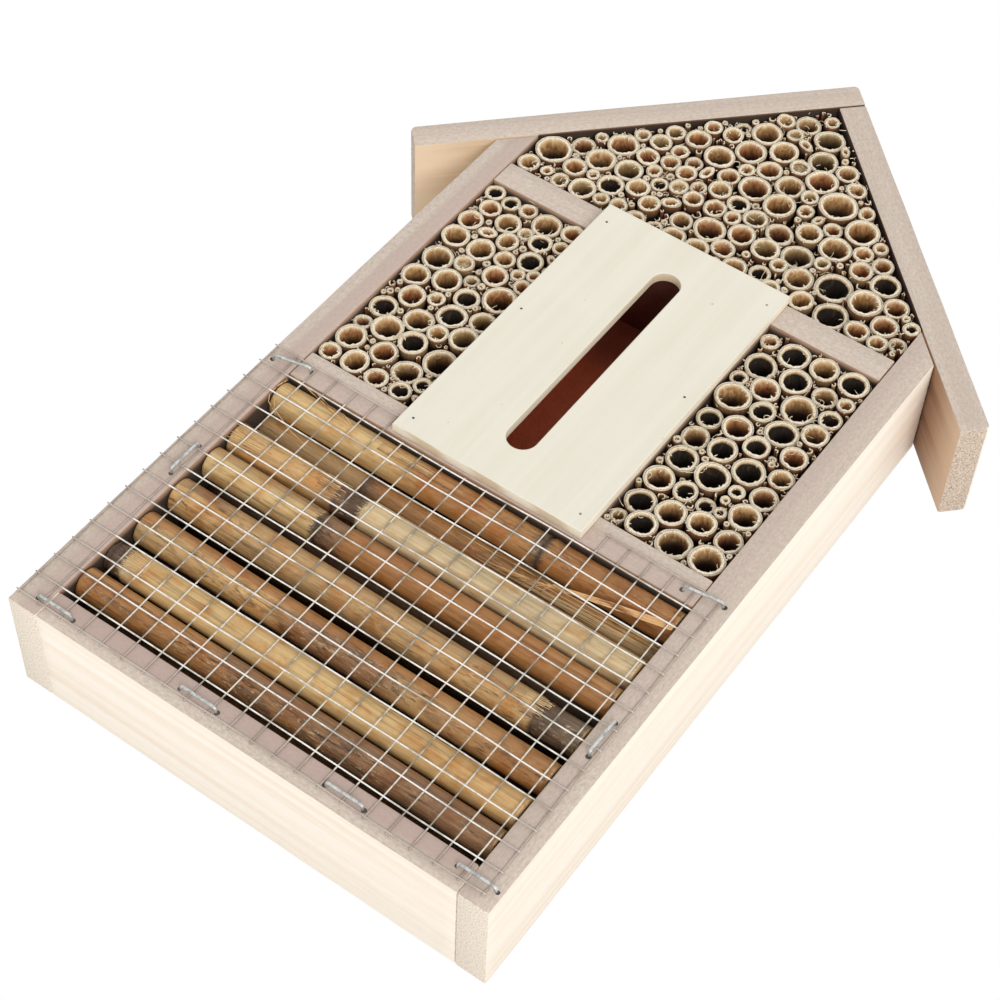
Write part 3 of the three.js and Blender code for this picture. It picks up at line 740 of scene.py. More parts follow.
def add_wire_mesh(upright_metal, level_metal):
    """Upright wires against the wood, level wires over them, all of them slightly
    crooked. Where the plate covers the top row, the wires stop a row lower."""
    low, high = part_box("wire_mesh")
    plate_low, plate_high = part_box("butterfly_plate")
    overhang = (high.x - low.x - (MESH_COLUMNS - 1) * MESH_PITCH) / 2
    upright_depth = high.y - WIRE_RADIUS
    level_depth = upright_depth - 1.7 * WIRE_RADIUS
    columns = [low.x + overhang + k * MESH_PITCH for k in range(MESH_COLUMNS)]
    heights = [low.z + overhang + k * MESH_PITCH for k in range(MESH_ROWS)]
    covered = [k for k, x in enumerate(columns) if plate_low.x < x < plate_high.x]
    bm = bmesh.new()

    def place(x, z, depth):
        wander = noise.noise_vector(Vector((x * 28, 3.1, z * 28)))
        return Vector((x + wander.x * 0.45 * MM, depth, z + wander.z * 0.55 * MM))

    def stretch(start, cells, steps=4):
        """Places along a wire over so many cells of the mesh, with its two ends."""
        places = [start + k * MESH_PITCH / steps for k in range(cells * steps + 1)]
        return [start - overhang, *places, places[-1] + overhang]

    def add_wire(points):
        sweep(bm, points, circle(WIRE_RADIUS, 8), Vector((0, 1, 0)))

    for k, x in enumerate(columns):
        rows = MESH_ROWS - 1 if k in covered else MESH_ROWS
        add_wire([place(x, z, upright_depth) for z in stretch(heights[0], rows - 1)])
    uprights = len(bm.faces)
    whole = [(0, MESH_COLUMNS - 1)]
    beside_plate = [(0, covered[0] - 1), (covered[-1] + 1, MESH_COLUMNS - 1)]
    for z in heights:
        for first, last in beside_plate if z == heights[-1] else whole:
            add_wire([place(x, z, level_depth) for x in stretch(columns[first], last - first)])
    for face in list(bm.faces)[uprights:]:
        face.material_index = 1
    metals = [upright_metal, level_metal]
    add_piece("wire_mesh_round", mesh_from(bm, "wire_mesh_round"), metals, "galvanised_wire", "wire_mesh")


STAPLE_DENT = [(0, -0.06), (0.55, -0.05), (0.72, 0.02), (0.5, 0.4), (0, 0.4)]
BRAD_PROFILE = [(0, -0.03), (0.22, -0.05), (0.36, 0.0), (0.42, 0.2), (0.36, 0.5), (0.36, 14.0), (0, 15.0)]


def staple_half_crown(node):
    """From the middle of a staple's crown to one end. The two corners that are
    farthest apart say which way a slanted staple leans."""
    low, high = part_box(node)
    centre, size = (low + high) / 2, high - low
    long_way, short_way = Vector((1, 0, 0)), Vector((0, 0, 1))
    if size.z > size.x:
        long_way, short_way = short_way, long_way
    half = long_way * size.dot(long_way) / 2
    breadth = size.dot(short_way)
    if breadth < 1.5 * STAPLE_WIDTH:
        return half
    crown = [v.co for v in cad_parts[node].data.vertices if v.co.y < low.y + 0.01 * MM]
    end = max(((a - b).length, a) for a in crown for b in crown)[1] - centre
    rise = (breadth - STAPLE_WIDTH) / 2
    return half + short_way * (rise if end.x * end.z > 0 else -rise)


def add_staple(node, metal, dark):
    """A flat-wire staple: a crown with rounded shoulders, and two legs, each in a
    dark dent in the wood, coloured dark as painted shade."""
    low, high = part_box(node)
    half_crown = staple_half_crown(node)
    outward = half_crown.normalized()
    depth = low.y + STAPLE_THICKNESS / 2
    reach = half_crown.length - STAPLE_THICKNESS / 2 - STAPLE_SHOULDER
    middle = (low + high) / 2
    middle.y = depth
    points = []
    for side in (-1, 1):
        leg = []
        for k in range(7):
            turn = math.pi / 2 * k / 6
            along = outward * side * (reach + STAPLE_SHOULDER * math.sin(turn))
            leg.append(middle + along + Vector((0, STAPLE_SHOULDER * (1 - math.cos(turn)), 0)))
        leg.append(leg[-1] + Vector((0, high.y - depth - STAPLE_SHOULDER, 0)))
        points = leg[::-1] if side < 0 else points + leg
    bm = bmesh.new()
    section = rounded_bar(STAPLE_SEEN_WIDTH, STAPLE_THICKNESS, 0.18 * MM)
    sweep(bm, points, section, outward.cross(Vector((0, 1, 0))))
    crown_faces = len(bm.faces)
    # Painted shade: a dark disc where each leg enters the wood.
    for foot, side in ((points[0], -1), (points[-1], 1)):
        hole = foot + outward * side * 0.35 * MM
        lathe(bm, [(r * MM, FRONT + y * MM) for r, y in STAPLE_DENT], hole.x, hole.z, 12)
    for face in list(bm.faces)[crown_faces:]:
        face.material_index = 1
    add_piece(node + "_wire", mesh_from(bm, node), [metal, dark], "galvanised_wire", node)


def add_brad(node, metal, dark):
    """A tiny nail sunk level with the plate, in a crushed ring of wood."""
    low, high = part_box(node)
    centre = (low + high) / 2
    bm = bmesh.new()
    lathe(bm, [(r * MM, low.y + y * MM) for r, y in BRAD_PROFILE], centre.x, centre.z, 14)
    finish = metal if node[-1] in "26" else dark
    add_piece(node + "_nail", mesh_from(bm, node), [finish], "brad_steel", node)


def lathe(bm, profile, x, z, sides):
    """Turns (radius, y) pairs about an axis along Y. The ends are on the axis."""
    tips = [bm.verts.new((x, profile[end][1], z)) for end in (0, -1)]
    rings = [[bm.verts.new((x + u, y, z + v)) for u, v in circle(radius, sides)]
             for radius, y in profile[1:-1]]
    bridge(bm, rings)
    for tip, ring in zip(tips, (rings[0], rings[-1])):
        for k in range(sides):
            bm.faces.new((ring[k], ring[(k + 1) % sides], tip))


# ---- reeds

SKIN, RIM, BORE, PITH = range(4)
FLAKES = (3, 7)  # fewest and most torn flakes on a reed's cut end


def bores(node):
    """Each bore of a reed stack in the CAD model, as (x, z, bore radius)."""
    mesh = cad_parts[node].data
    parent = {}

    def root(key):
        while parent[key] != key:
            key = parent[key]
        return key

    for polygon in mesh.polygons:
        if abs(polygon.normal.y) > 0.5:
            continue
        keys = []
        for index in polygon.vertices:
            place = mesh.vertices[index].co
            keys.append((round(place.x / MM, 3), round(place.z / MM, 3)))
        for key in keys:
            parent.setdefault(key, key)
        for key in keys[1:]:
            parent[root(key)] = root(keys[0])
    groups = {}
    for key in parent:
        groups.setdefault(root(key), []).append(key)
    found = []
    for keys in groups.values():
        x = sum(key[0] for key in keys) / len(keys)
        z = sum(key[1] for key in keys) / len(keys)
        radius = sum(math.hypot(key[0] - x, key[1] - z) for key in keys) / len(keys)
        if radius < 8 and len(keys) > 4:
            found.append((x * MM, z * MM, radius * MM))
    return sorted(found, key=lambda bore: (round(bore[1] / MM), bore[0]))


def packed(places):
    """Each reed swollen until it all but touches its nearest neighbour, as
    (x, z, radius, share of the radius that is bore)."""
    reeds = [(x, z, (bore + BORE_RADIUS_LOSS) / BORE_RADIUS_SHARE, bore) for x, z, bore in places]
    swollen = []
    for index, (x, z, radius, bore) in enumerate(reeds):
        gap = min(math.hypot(x - u, z - w) - radius - other
                  for k, (u, w, other, _) in enumerate(reeds) if k != index)
        grown = radius + max(0.0, min(gap * 0.48, 0.45 * MM))
        swollen.append((x, z, grown * 1.01, bore / radius))
    return swollen


def hull(points):
    """The convex outline of (x, z) points, anticlockwise."""
    def chain(ordered):
        kept = []
        for point in ordered:
            while len(kept) > 1 and cross(kept[-2], kept[-1], point) <= 0:
                kept.pop()
            kept.append(point)
        return kept[:-1]

    def cross(a, b, c):
        return (b[0] - a[0]) * (c[1] - a[1]) - (b[1] - a[1]) * (c[0] - a[0])

    ordered = sorted(set(points))
    return chain(ordered) + chain(ordered[::-1])


def gaps_between(node, reeds, count, rng):
    """Circles for the scraps that are pushed in between the reeds."""
    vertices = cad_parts[node].data.vertices
    outline = hull([(round(v.co.x, 5), round(v.co.z, 5)) for v in vertices])
    walls = []
    for (ax, az), (bx, bz) in zip(outline, outline[1:] + outline[:1]):
        length = math.hypot(bx - ax, bz - az)
        if length > 2 * MM:
            walls.append((ax, az, (bx - ax) / length, (bz - az) / length))
    low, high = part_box(node)
    circles = [(x, z, radius) for x, z, radius, _ in reeds]
    found = []
    for _ in range(count):
        best = (0.0, 0.0, 0.0)
        for _ in range(70):
            x, z = rng.uniform(low.x, high.x), rng.uniform(low.z, high.z)
            clear = min((z - az) * ux - (x - ax) * uz for ax, az, ux, uz in walls)
            if clear > best[2]:
                clear = min(clear, min(math.hypot(x - u, z - w) - r for u, w, r in circles))
            if clear > best[2]:
                best = (x, z, clear)
        if best[2] > 0.38 * MM:
            circles.append(best)
            found.append(best)
    return found


class ReedMesh:
    """A mesh of reeds with the values that the reed materials read."""

    # A random tint and kind for each reed, how near its mouth the surface is (painted light there,
    # shade behind), and how dark it is: all of a mouldy bore, and a thin outline on every rim.
    VALUES = ("hue", "kind", "mouth", "darkening")

    def __init__(self):
        self.bm = bmesh.new()
        for name in self.VALUES:
            self.bm.verts.layers.float.new(name)

    def vert(self, place, *values):
        vert = self.bm.verts.new(place)
        for name, value in zip(self.VALUES, values):
            vert[self.bm.verts.layers.float[name]] = value
        return vert

    def face(self, verts, part):
        self.bm.faces.new(verts).material_index = part


def add_reed(reeds, x, z, radius, share, mouldy, rng, back):
    """One hollow reed: skin, cut end, bore and the pith or node that closes it."""
    sides = 32 if radius > 3 * MM else 24 if radius > 1.6 * MM else 14
    hue = rng.random()
    kind = rng.random()
    style = rng.random()
    mouldy = rng.random() < mouldy
    mouth = FRONT + rng.choice((0.2, 0.3, 0.5, 0.7, 0.9, 1.2, 2.0)) * MM
    crushed = 1.6 * MM < radius < 3.2 * MM and style < 0.16
    filled = not crushed and radius < 3.4 * MM and style > 0.90
    stretch = rng.uniform(0.55, 0.72) if crushed else rng.uniform(0.92, 1.0)
    turn = rng.uniform(0, math.pi)
    lean = (rng.uniform(-0.012, 0.012), rng.uniform(-0.012, 0.012))
    phase = rng.uniform(0, 50)
    bite = rng.uniform(0, 2 * math.pi)
    inner = max(radius * share * (0.8 if crushed else 1.0), 0.3 * radius)
    wall = radius - inner
    deep = rng.uniform(9, 22) * MM
    outlined = rng.uniform(0.2, 0.8)
    profile = [
        (radius * 0.96, back - mouth, SKIN),
        (radius * 0.96, 12 * MM, SKIN),
        (radius * 0.97, 3 * MM, SKIN),
        (radius * 0.985, 0.6 * MM, SKIN),
        (radius * 0.985, 0.22 * MM, SKIN),
        (radius * 0.985 - 0.10 * wall, 0.0, RIM),
        (radius - 0.26 * wall, 0.05 * MM, RIM),
        (radius - 0.36 * wall, 0.34 * MM, RIM),
        (radius - 0.46 * wall, 0.10 * MM, RIM),
        (radius - 0.70 * wall, 0.0, RIM),
        (inner + 0.12 * wall, 0.12 * MM, RIM),
        (inner * 0.99, 0.42 * MM, BORE),
        (inner * 0.97, 1.1 * MM, BORE),
        (inner * 0.98, 2.4 * MM, BORE),
        (inner * 0.97, 5 * MM, BORE),
        (inner * 0.95, 8.5 * MM, BORE),
        (inner * 0.94, deep, BORE),
    ]
    if filled:
        profile = profile[:13] + [(inner * 0.94, 1.5 * MM, PITH), (inner * 0.5, 1.2 * MM, PITH)]

    rings = []
    for number, (r, y, part) in enumerate(profile):
        ring = []
        for k in range(sides):
            angle = 2 * math.pi * k / sides
            around = Vector((math.cos(angle), math.sin(angle), phase))
            broad = noise.noise(around * 1.3)
            ragged = noise.noise(around * 3.5 + Vector((0, 0, 9)))
            fine = noise.noise(Vector((math.cos(angle) * 9, math.sin(angle) * 9, phase + number * 0.6)))
            chipped = max(0.0, math.cos(angle - bite) - 0.72) * 1.6
            r_here = r * (1 + 0.055 * broad)
            y_here = y
            if part == RIM:
                y_here += (0.20 * ragged + 0.22 * fine) * MM + chipped * 0.5 * MM
                r_here += 0.10 * fine * wall
            if 9 <= number <= 13:
                r_here += (0.16 * fine + 0.10 * ragged) * min(wall, 0.9 * MM)
            if part == BORE and number < 13:
                y_here += 0.25 * fine * MM
            if part == PITH:
                y_here += 0.9 * fine * MM
            u = r_here * math.cos(angle)
            v = r_here * math.sin(angle) * stretch
            px = x + u * math.cos(turn) - v * math.sin(turn) + lean[0] * (y - 4 * MM)
            pz = z + u * math.sin(turn) + v * math.cos(turn) + lean[1] * (y - 4 * MM)
            # Painted light by the mouth: 1 there, 0 a millimetre or so in, where the skin and bore turn
            # to painted shade.
            bright = max(0.0, 1 - y / ((1.5 if part == BORE else 1.1) * MM))
            outline = 1.0 if number in (5, 7) else 0.0
            black = 1.0 if mouldy and part == BORE and y > 0.9 * MM else outline * outlined
            ring.append(reeds.vert((px, mouth + y_here, pz), hue, kind, bright, black))
        rings.append(ring)
    for (_, _, part), ring, following in zip(profile[1:], rings, rings[1:]):
        bridge(reeds.bm, (ring, following), part)
    reeds.face(rings[-1], PITH if filled else BORE)
    reeds.face(rings[0][::-1], SKIN)

    centre = Vector((x, mouth, z))
    for _ in range(rng.randint(*FLAKES) if radius > 1.5 * MM else 1):
        angle = rng.uniform(0, 2 * math.pi)
        outward = Vector((math.cos(angle), 0, math.sin(angle) * (stretch if abs(turn) < 0.3 else 1.0)))
        inwards = rng.random() < 0.7
        root = centre + outward * (inner * 1.06 if inwards else radius * 0.95)
        root.y += rng.uniform(-0.05, 0.5) * MM
        aside = outward.cross(Vector((0, 1, 0))) * rng.uniform(-0.8, 0.8)
        heading = (aside - outward if inwards else aside + outward * 0.6).normalized()
        length = rng.uniform(0.35, 1.0) * MM * (1.0 if radius > 2.4 * MM else 0.6)
        heading.y = rng.uniform(-0.3, 0.8)
        add_flake(reeds, root, heading, length, rng.uniform(0.22, 0.55) * MM, hue)


def add_flake(reeds, root, heading, length, width, hue):
    """A torn flake: a thin bent wedge from its root to its tip."""
    across = heading.cross(Vector((0, 1, 0))).normalized() * width / 2
    thick = Vector((0, 0.08 * MM, 0))
    bend = root + heading * length * 0.55 - thick

    def ring(place, share):
        corners = (across + thick, thick - across, -across - thick, across - thick)
        return [reeds.vert(place + corner * share, hue, 0.5, 0.7, 0.0) for corner in corners]

    rings = [ring(root, 1.0), ring(bend, 0.7), ring(root + heading * length, 0.15)]
    bridge(reeds.bm, rings, RIM)
    reeds.face(rings[0][::-1], RIM)
    reeds.face(rings[-1], RIM)


def add_curl(reeds, x, z, radius, rng):
    """A split scrap of reed, curled like a C and pushed into a gap."""
    steps = 9
    start = rng.uniform(0, 2 * math.pi)
    sweep_angle = rng.uniform(2.4, 5.2)
    thickness = min(0.32 * MM, radius * 0.45)
    mouth = FRONT + rng.uniform(0.5, 2.2) * MM
    hue = rng.random()
    rows = []
    for y, part in ((0.0, RIM), (0.5 * MM, SKIN), (11 * MM, SKIN)):
        for r in (radius, radius - thickness):
            row = []
            for k in range(steps + 1):
                angle = start + sweep_angle * k / steps
                waver = noise.noise(Vector((k * 0.7, hue * 40, y * 300)))
                rough = 0.5 * waver * MM if part == RIM else 0.0
                place = (x + r * math.cos(angle), mouth + y + rough, z + r * math.sin(angle))
                row.append(reeds.vert(place, hue, 0.5, 1.0 if y == 0.0 else 0.5 if y < MM else 0.0, 0.0))
            rows.append(row)
    outer_front, inner_front, outer_mid, inner_mid, outer_back, inner_back = rows
    around = (inner_front, outer_front, outer_mid, outer_back, inner_back, inner_mid, inner_front)
    for number, (a, b) in enumerate(zip(around, around[1:])):
        for k in range(steps):
            reeds.face((a[k], a[k + 1], b[k + 1], b[k]), SKIN if number else RIM)
    for k in (0, steps):
        reeds.face((outer_front[k], outer_mid[k], inner_mid[k], inner_front[k]), SKIN)
        reeds.face((outer_mid[k], outer_back[k], inner_back[k], inner_mid[k]), SKIN)


# For each stack: the share of mouldy reeds, and how many scraps fill its gaps.
STACKS = {"attic_reeds": (0.14, 230), "left_reeds": (0.20, 100), "right_reeds": (0.52, 90)}


def add_reeds(materials):
    """Every reed at its bore in the CAD stack, a few rows to a piece."""
    per_piece = 14
    for node, (mouldy, scraps) in STACKS.items():
        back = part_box(node)[1].y
        places = packed(bores(node))
        rng = random.Random(node)
        for start in range(0, len(places), per_piece):
            reeds = ReedMesh()
            for x, z, radius, share in places[start:start + per_piece]:
                add_reed(reeds, x, z, radius, share, mouldy, rng, back)
            name = f"{node}_{start // per_piece + 1}"
            add_piece(name, mesh_from(reeds.bm, name), materials, "reed", node)
        reeds = ReedMesh()
        for x, z, clear in gaps_between(node, places, scraps, rng):
            if clear > 0.75 * MM and rng.random() < 0.6:
                add_reed(reeds, x, z, min(clear, 2 * MM), 0.45, 0.2, rng, back)
            else:
                add_curl(reeds, x, z, min(clear, 1.4 * MM) * 0.97, rng)
        add_piece(node + "_scraps", mesh_from(reeds.bm, node), materials, "reed", node)


# ---- bamboo canes

PALE = tone(208, 184, 142)
STRAW = tone(214, 180, 124)
HONEY = tone(203, 162, 106)
TAN = tone(184, 148, 100)
ORANGE = tone(178, 128, 76)
RUST = tone(166, 114, 62)
BROWN = tone(146, 108, 74)
GREY = tone(130, 108, 84)
DARK = tone(92, 70, 52)

# Front canes from the base up. Colours run across the object in millimetres
# from its centre line: over the whole cane, or "under" for its lower half.
# "girth" is the share of the cane's radius along it, where the sheath is torn
# off or a node stands proud, "knots" are the nodes, and "rough" is how worn the
# skin is.
FRONT_CANES = [
    {"stops": [(-60, ORANGE), (-24, ORANGE), (-16, BROWN), (16, BROWN), (26, BROWN), (60, BROWN)],
     "under": [(-60, RUST), (-30, RUST), (20, BROWN), (60, BROWN)],
     "rough": [(-60, 0.5), (-30, 0.7), (-20, 1.0), (26, 1.0), (44, 0.45), (60, 0.35)]},
    {"stops": [(-60, DARK), (-56, DARK), (-54.6, PALE), (-48, STRAW), (10, STRAW), (60, HONEY)],
     "girth": [(-60, 0.90), (-55.4, 0.90), (-54.4, 1.0), (60, 1.0)], "knots": [-57.5],
     "rough": [(-60, 0.6), (-54, 0.15), (-40, 0.05), (60, 0.08)]},
    {"stops": [(-60, ORANGE), (-20, ORANGE), (-8, RUST), (20, ORANGE), (60, ORANGE)],
     "under": [(-60, TAN), (-22, HONEY), (-10, BROWN), (12, BROWN), (22, TAN), (60, RUST)],
     "rough": [(-60, 0.6), (-30, 0.7), (-12, 1.0), (14, 1.0), (30, 0.6), (60, 0.5)]},
    {"stops": [(-60, TAN), (-52, BROWN), (-40, TAN), (40, TAN), (47.2, TAN), (48.2, DARK), (60, GREY)],
     "under": [(-60, HONEY), (-20, TAN), (45, HONEY), (47.2, TAN), (48.2, DARK), (60, GREY)],
     "girth": [(-60, 1.0), (47, 1.0), (48.2, 0.93), (60, 0.93)], "knots": [49],
     "rough": [(-60, 0.6), (-40, 0.6), (-20, 0.4), (20, 0.5), (47, 0.7), (49, 1.0), (60, 1.0)]},
    {"stops": [(-60, TAN), (-30, TAN), (-25.8, BROWN), (-19, BROWN),
               (-17, RUST), (30, RUST), (60, ORANGE)],
     "under": [(-60, STRAW), (-27, STRAW), (-26, DARK), (-19, BROWN), (-17, RUST), (60, RUST)],
     "girth": [(-60, 1.0), (-26.2, 1.0), (-25.6, 0.93), (-19, 0.93), (-17, 0.97), (60, 0.97)],
     "knots": [-24], "rough": [(-60, 0.15), (-28, 0.3), (-25, 0.8), (-18, 0.6), (-14, 0.15), (60, 0.2)]},
    {"stops": [(-60, HONEY), (-33, HONEY), (-27, BROWN), (-25, DARK),
               (-20.4, DARK), (-19.4, PALE), (60, PALE)],
     "girth": [(-60, 1.0), (-27, 0.98), (-25.5, 0.86), (-20.2, 0.84), (-19.0, 1.0), (60, 1.0)],
     "knots": [-25.6],
     "rough": [(-60, 0.35), (-30, 0.4), (-26, 0.8), (-20, 0.5), (-18, 0.08), (60, 0.12)]},
    {"stops": [(-60, TAN), (-28, TAN), (-26.4, DARK), (-25, BROWN),
               (-20, ORANGE), (24, ORANGE), (60, HONEY)],
     "girth": [(-60, 1.0), (-26.5, 1.0), (-25.7, 0.95), (60, 0.97)], "knots": [-26],
     "rough": [(-60, 0.3), (0, 0.3), (10, 0.6), (60, 0.6)]},
    {"stops": [(-60, STRAW), (-30, STRAW), (-20, HONEY), (-12, ORANGE), (19, ORANGE),
               (20.2, GREY), (22.8, DARK), (23.6, RUST), (60, RUST)],
     "girth": [(-60, 0.98), (19, 0.96), (20.4, 1.0), (22.4, 0.96), (60, 0.97)], "knots": [23.4],
     "rough": [(-60, 0.12), (-20, 0.2), (16, 0.3), (21, 0.8), (26, 0.4), (60, 0.25)]},
]


def stepped(stops, x):
    """The value at x on a line through (x, value) stops."""
    for (x0, a), (x1, b) in zip(stops, stops[1:]):
        if x <= x1:
            return a + (b - a) * (x - x0) / (x1 - x0)
    return stops[-1][1]


def bell(distance, width):
    return math.exp(-(distance / width) ** 2)


def add_cane(node, material, cut, details, steps, sides, seed, slot="bamboo"):
    """A bamboo cane: slightly bent, ridged at its nodes, hollow at its ends."""
    low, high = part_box(node)
    centre = (low + high) / 2
    radius = (high.z - low.z) / 2
    hollow = radius - CANE_WALL
    girth = details.get("girth", [(-61, 0.97), (61, 0.97)])
    bm = bmesh.new()
    knot_layer = bm.verts.layers.float.new("knot")

    def ring(x, r, dark):
        bend = noise.noise_vector(Vector((x * 9, seed, 0)))
        verts = []
        for k in range(sides):
            angle = 2 * math.pi * k / sides
            grain = noise.noise(Vector((math.cos(angle) * 1.5, math.sin(angle) * 1.5 + seed, x * 14)))
            ridge = noise.noise(Vector((math.cos(angle) * 7, math.sin(angle) * 7 + seed, x * 3)))
            here = r * (1 + 0.020 * grain + 0.008 * ridge)
            y = centre.y + here * math.cos(angle) + bend.y * 0.15 * MM
            z = centre.z + here * math.sin(angle) + bend.z * 0.20 * MM
            vert = bm.verts.new((x, y, z))
            vert[knot_layer] = dark
            verts.append(vert)
        return verts

    def end_rings(end, inwards):
        """A sawn end, from inside the bore out to the skin."""
        outer = stepped(girth, end / MM) * radius - 0.5 * MM
        profile = ((5, hollow), (0.15, hollow), (0, hollow + 0.3 * MM), (0.05, outer))
        return [ring(end + inwards * depth * MM, r, 0.0) for depth, r in profile]

    skin = []
    for index in range(steps + 1):
        x = low.x + CANE_CHAMFER + (high.x - low.x - 2 * CANE_CHAMFER) * index / steps
        swell = 0.0
        dark = 0.0
        for knot in details.get("knots", ()):
            away = x / MM - knot
            swell += 0.22 * MM * bell(away, 0.9) - 0.30 * MM * bell(away + 1.5, 0.4)
            dark = max(dark, bell(away + 1.4, 0.6))
        skin.append(ring(x, radius * stepped(girth, x / MM) * CANE_SKIN_SHARE + swell, dark))
    left, right = end_rings(low.x, 1), end_rings(high.x, -1)[::-1]
    bridge(bm, skin)
    bridge(bm, left + skin[:1], 1)
    bridge(bm, skin[-1:] + right, 1)
    bm.faces.new(left[0][::-1]).material_index = 1
    bm.faces.new(right[-1]).material_index = 1
    name = node + "_bamboo"
    add_piece(name, mesh_from(bm, name), [material, cut], slot, node)


def add_canes():
    cut = cane_cut()
    for index, details in enumerate(FRONT_CANES):
        node = f"front_cane_{index + 1}"
        slot = "pale_bamboo" if index % 2 else "bamboo"
        material = bamboo(node, details, 7.3 * index)
        add_cane(node, material, cut, details, 240, 48, 3.1 * index, slot)
    plain = {"stops": [(-60, BROWN), (0, ORANGE), (60, BROWN)], "rough": [(-60, 0.4), (60, 0.4)]}
    hidden = bamboo("inner_bamboo", plain, 91.0)
    inner = [f"middle_cane_{k}" for k in range(1, 8)] + [f"back_cane_{k}" for k in range(1, 10)]
    for index, node in enumerate(inner):
        add_cane(node, hidden, cut, {"knots": [-40 + 11 * (index % 8)]}, 60, 20, 5.7 * index)


# ---- loose fibres

def add_strand(bm, points, width, thickness=0.10 * MM):
    sweep(bm, points, rounded_bar(width, thickness, 0.4 * thickness, 1), Vector((0, 1, 0)))


def curl_from(start, heading, curl, length, rng, steps=10):
    """Points of a fibre that curls as it goes, no further out than the boards."""
    points = [start]
    for _ in range(steps):
        heading += curl
        move = Vector((math.cos(heading), rng.uniform(-0.40, 0.25), math.sin(heading)))
        points.append(points[-1] + move * length / steps)
        points[-1].y = max(points[-1].y, FRONT - 0.3 * MM)
    return points


def add_fibres(material):
    """Torn fibres that curl out of the reeds' cut ends and bores."""
    rng = random.Random(41)
    for node, count in (("attic_reeds", 210), ("left_reeds", 70), ("right_reeds", 80)):
        bm = bmesh.new()
        places = packed(bores(node))
        for _ in range(count):
            x, z, radius, share = rng.choice(places)
            angle = rng.uniform(0, 2 * math.pi)
            from_bore = rng.random() < 0.35
            reach = radius * (share * 0.92 if from_bore else 1.02)
            heading = angle + (math.pi if from_bore else rng.choice((-1, 1)) * rng.uniform(0.9, 1.9))
            start = Vector((x + reach * math.cos(angle), FRONT + 1.3 * MM, z + reach * math.sin(angle)))
            length = rng.uniform(0.8, 2.2) * MM if from_bore else rng.uniform(1.5, 4.5) * MM
            points = curl_from(start, heading, rng.uniform(-0.45, 0.45), length, rng)
            add_strand(bm, points, rng.uniform(0.10, 0.30) * MM)
        add_piece(node + "_fibres", mesh_from(bm, node + "_fibres"), [material], "reed")


def on_cane(number, x, height, lift):
    """A point on a front cane's near side. height is from -1 to 1 across it."""
    low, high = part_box(f"front_cane_{number}")
    radius = (high.z - low.z) / 2 * CANE_SKIN_SHARE
    middle = (low.z + high.z) / 2
    depth = math.sqrt(max(0.0, 1 - height * height)) * radius
    return Vector((x * MM, (low.y + high.y) / 2 - depth - lift * MM, middle + height * radius))


# Torn sheath ends: cane, x at the free end and at the root, how far across the
# cane the strands spread at each, and how many there are.
FANS = [
    (2, -56.0, -48.5, 0.85, 0.55, 20),
    (6, -60.3, -50.0, 0.90, 0.70, 18),
    (6, -25.6, -33.0, 0.75, 0.75, 14),
    (4, 49.8, 43.0, 0.60, 0.50, 16),
    (8, -8.0, -28.0, 0.25, 0.35, 9),
    (5, -25.4, -28.0, 0.70, 0.70, 6),
]
# The split piece that lies across two canes: points in the model's frame.
RIBBON = [(12, -9.5, 78.8), (30, -13.2, 79.9), (44, -14.7, 82.4), (60, -14.85, 86.0)]
# Curls of sheath: points across, up, and how far behind the boards' fronts.
CURLS = [
    [(-59.6, 91.6, 0.3), (-60.2, 88.4, 0.1), (-60.2, 85.4, 0.2), (-59.0, 83.4, 0.6), (-55.6, 82.0, 1.5)],
    [(-58.9, 93.4, 0.0), (-51.7, 91.8, 0.0), (-44.6, 90.3, 0.1), (-38.0, 89.0, 0.1)],
    [(-52.0, 92.8, 0.1), (-46.0, 91.0, 0.0), (-41.0, 90.9, 0.0), (-37.6, 89.6, 0.1)],
    [(-59.0, 85.6, 0.6), (-56.5, 82.6, 0.9), (-50.0, 80.4, 2.4), (-44.0, 79.8, 4.0)],
]


def filled_in(corners, steps):
    """The corners, with even steps between them."""
    points = [a.lerp(b, k / steps) for a, b in zip(corners, corners[1:]) for k in range(steps)]
    return [*points, corners[-1]]


def add_cane_fibres(pale, tan):
    """Frayed sheath on the canes, and the split piece that lies across two."""
    rng = random.Random(7)
    bm = bmesh.new()
    for number, free, root, wide, narrow, count in FANS:
        for k in range(count):
            share = 2 * (k + rng.random()) / count - 1
            reach = free + (root - free) * rng.uniform(-0.06, 0.35)
            points = []
            for step in range(7):
                along = step / 6
                height = share * (wide + (narrow - wide) * along) + rng.uniform(-0.02, 0.02)
                lift = 0.30 * (1 - along) ** 2 * rng.uniform(0.2, 1.0) - 0.02
                points.append(on_cane(number, reach + (root - reach) * along, height, lift))
            add_strand(bm, points, rng.uniform(0.12, 0.30) * MM, 0.10 * MM)
    for _ in range(12):
        start = rng.uniform(-2, 26)
        height = rng.uniform(-0.75, 0.25)
        rise = rng.uniform(0.0, 0.45)
        points = [on_cane(7, start + (59 - start) * k / 12, height + rise * k / 12, rng.uniform(0.1, 0.5))
                  for k in range(13)]
        add_strand(bm, points, rng.uniform(0.18, 0.5) * MM, 0.14 * MM)
    add_piece("torn_sheath", mesh_from(bm, "torn_sheath"), [pale], "pale_bamboo")

    bm = bmesh.new()
    for k in range(6):
        shift = (k - 2.5) * 0.40
        places = [Vector((x, y + 0.1 * (k % 2), z + shift * x / 60)) * MM for x, y, z in RIBBON]
        places[0].x += 3.0 * k * MM
        points = filled_in(places, 5)
        for point in points:
            point.z += rng.uniform(-0.05, 0.05) * MM
        add_strand(bm, points, rng.uniform(0.30, 0.55) * MM, 0.24 * MM)
    for curl in CURLS:
        corners = [Vector((x * MM, FRONT + y * MM, z * MM)) for x, z, y in curl]
        add_strand(bm, filled_in(corners, 4), 0.40 * MM, 0.18 * MM)
    add_piece("split_sheath", mesh_from(bm, "split_sheath"), [tan], "bamboo")


# ---- stage and light

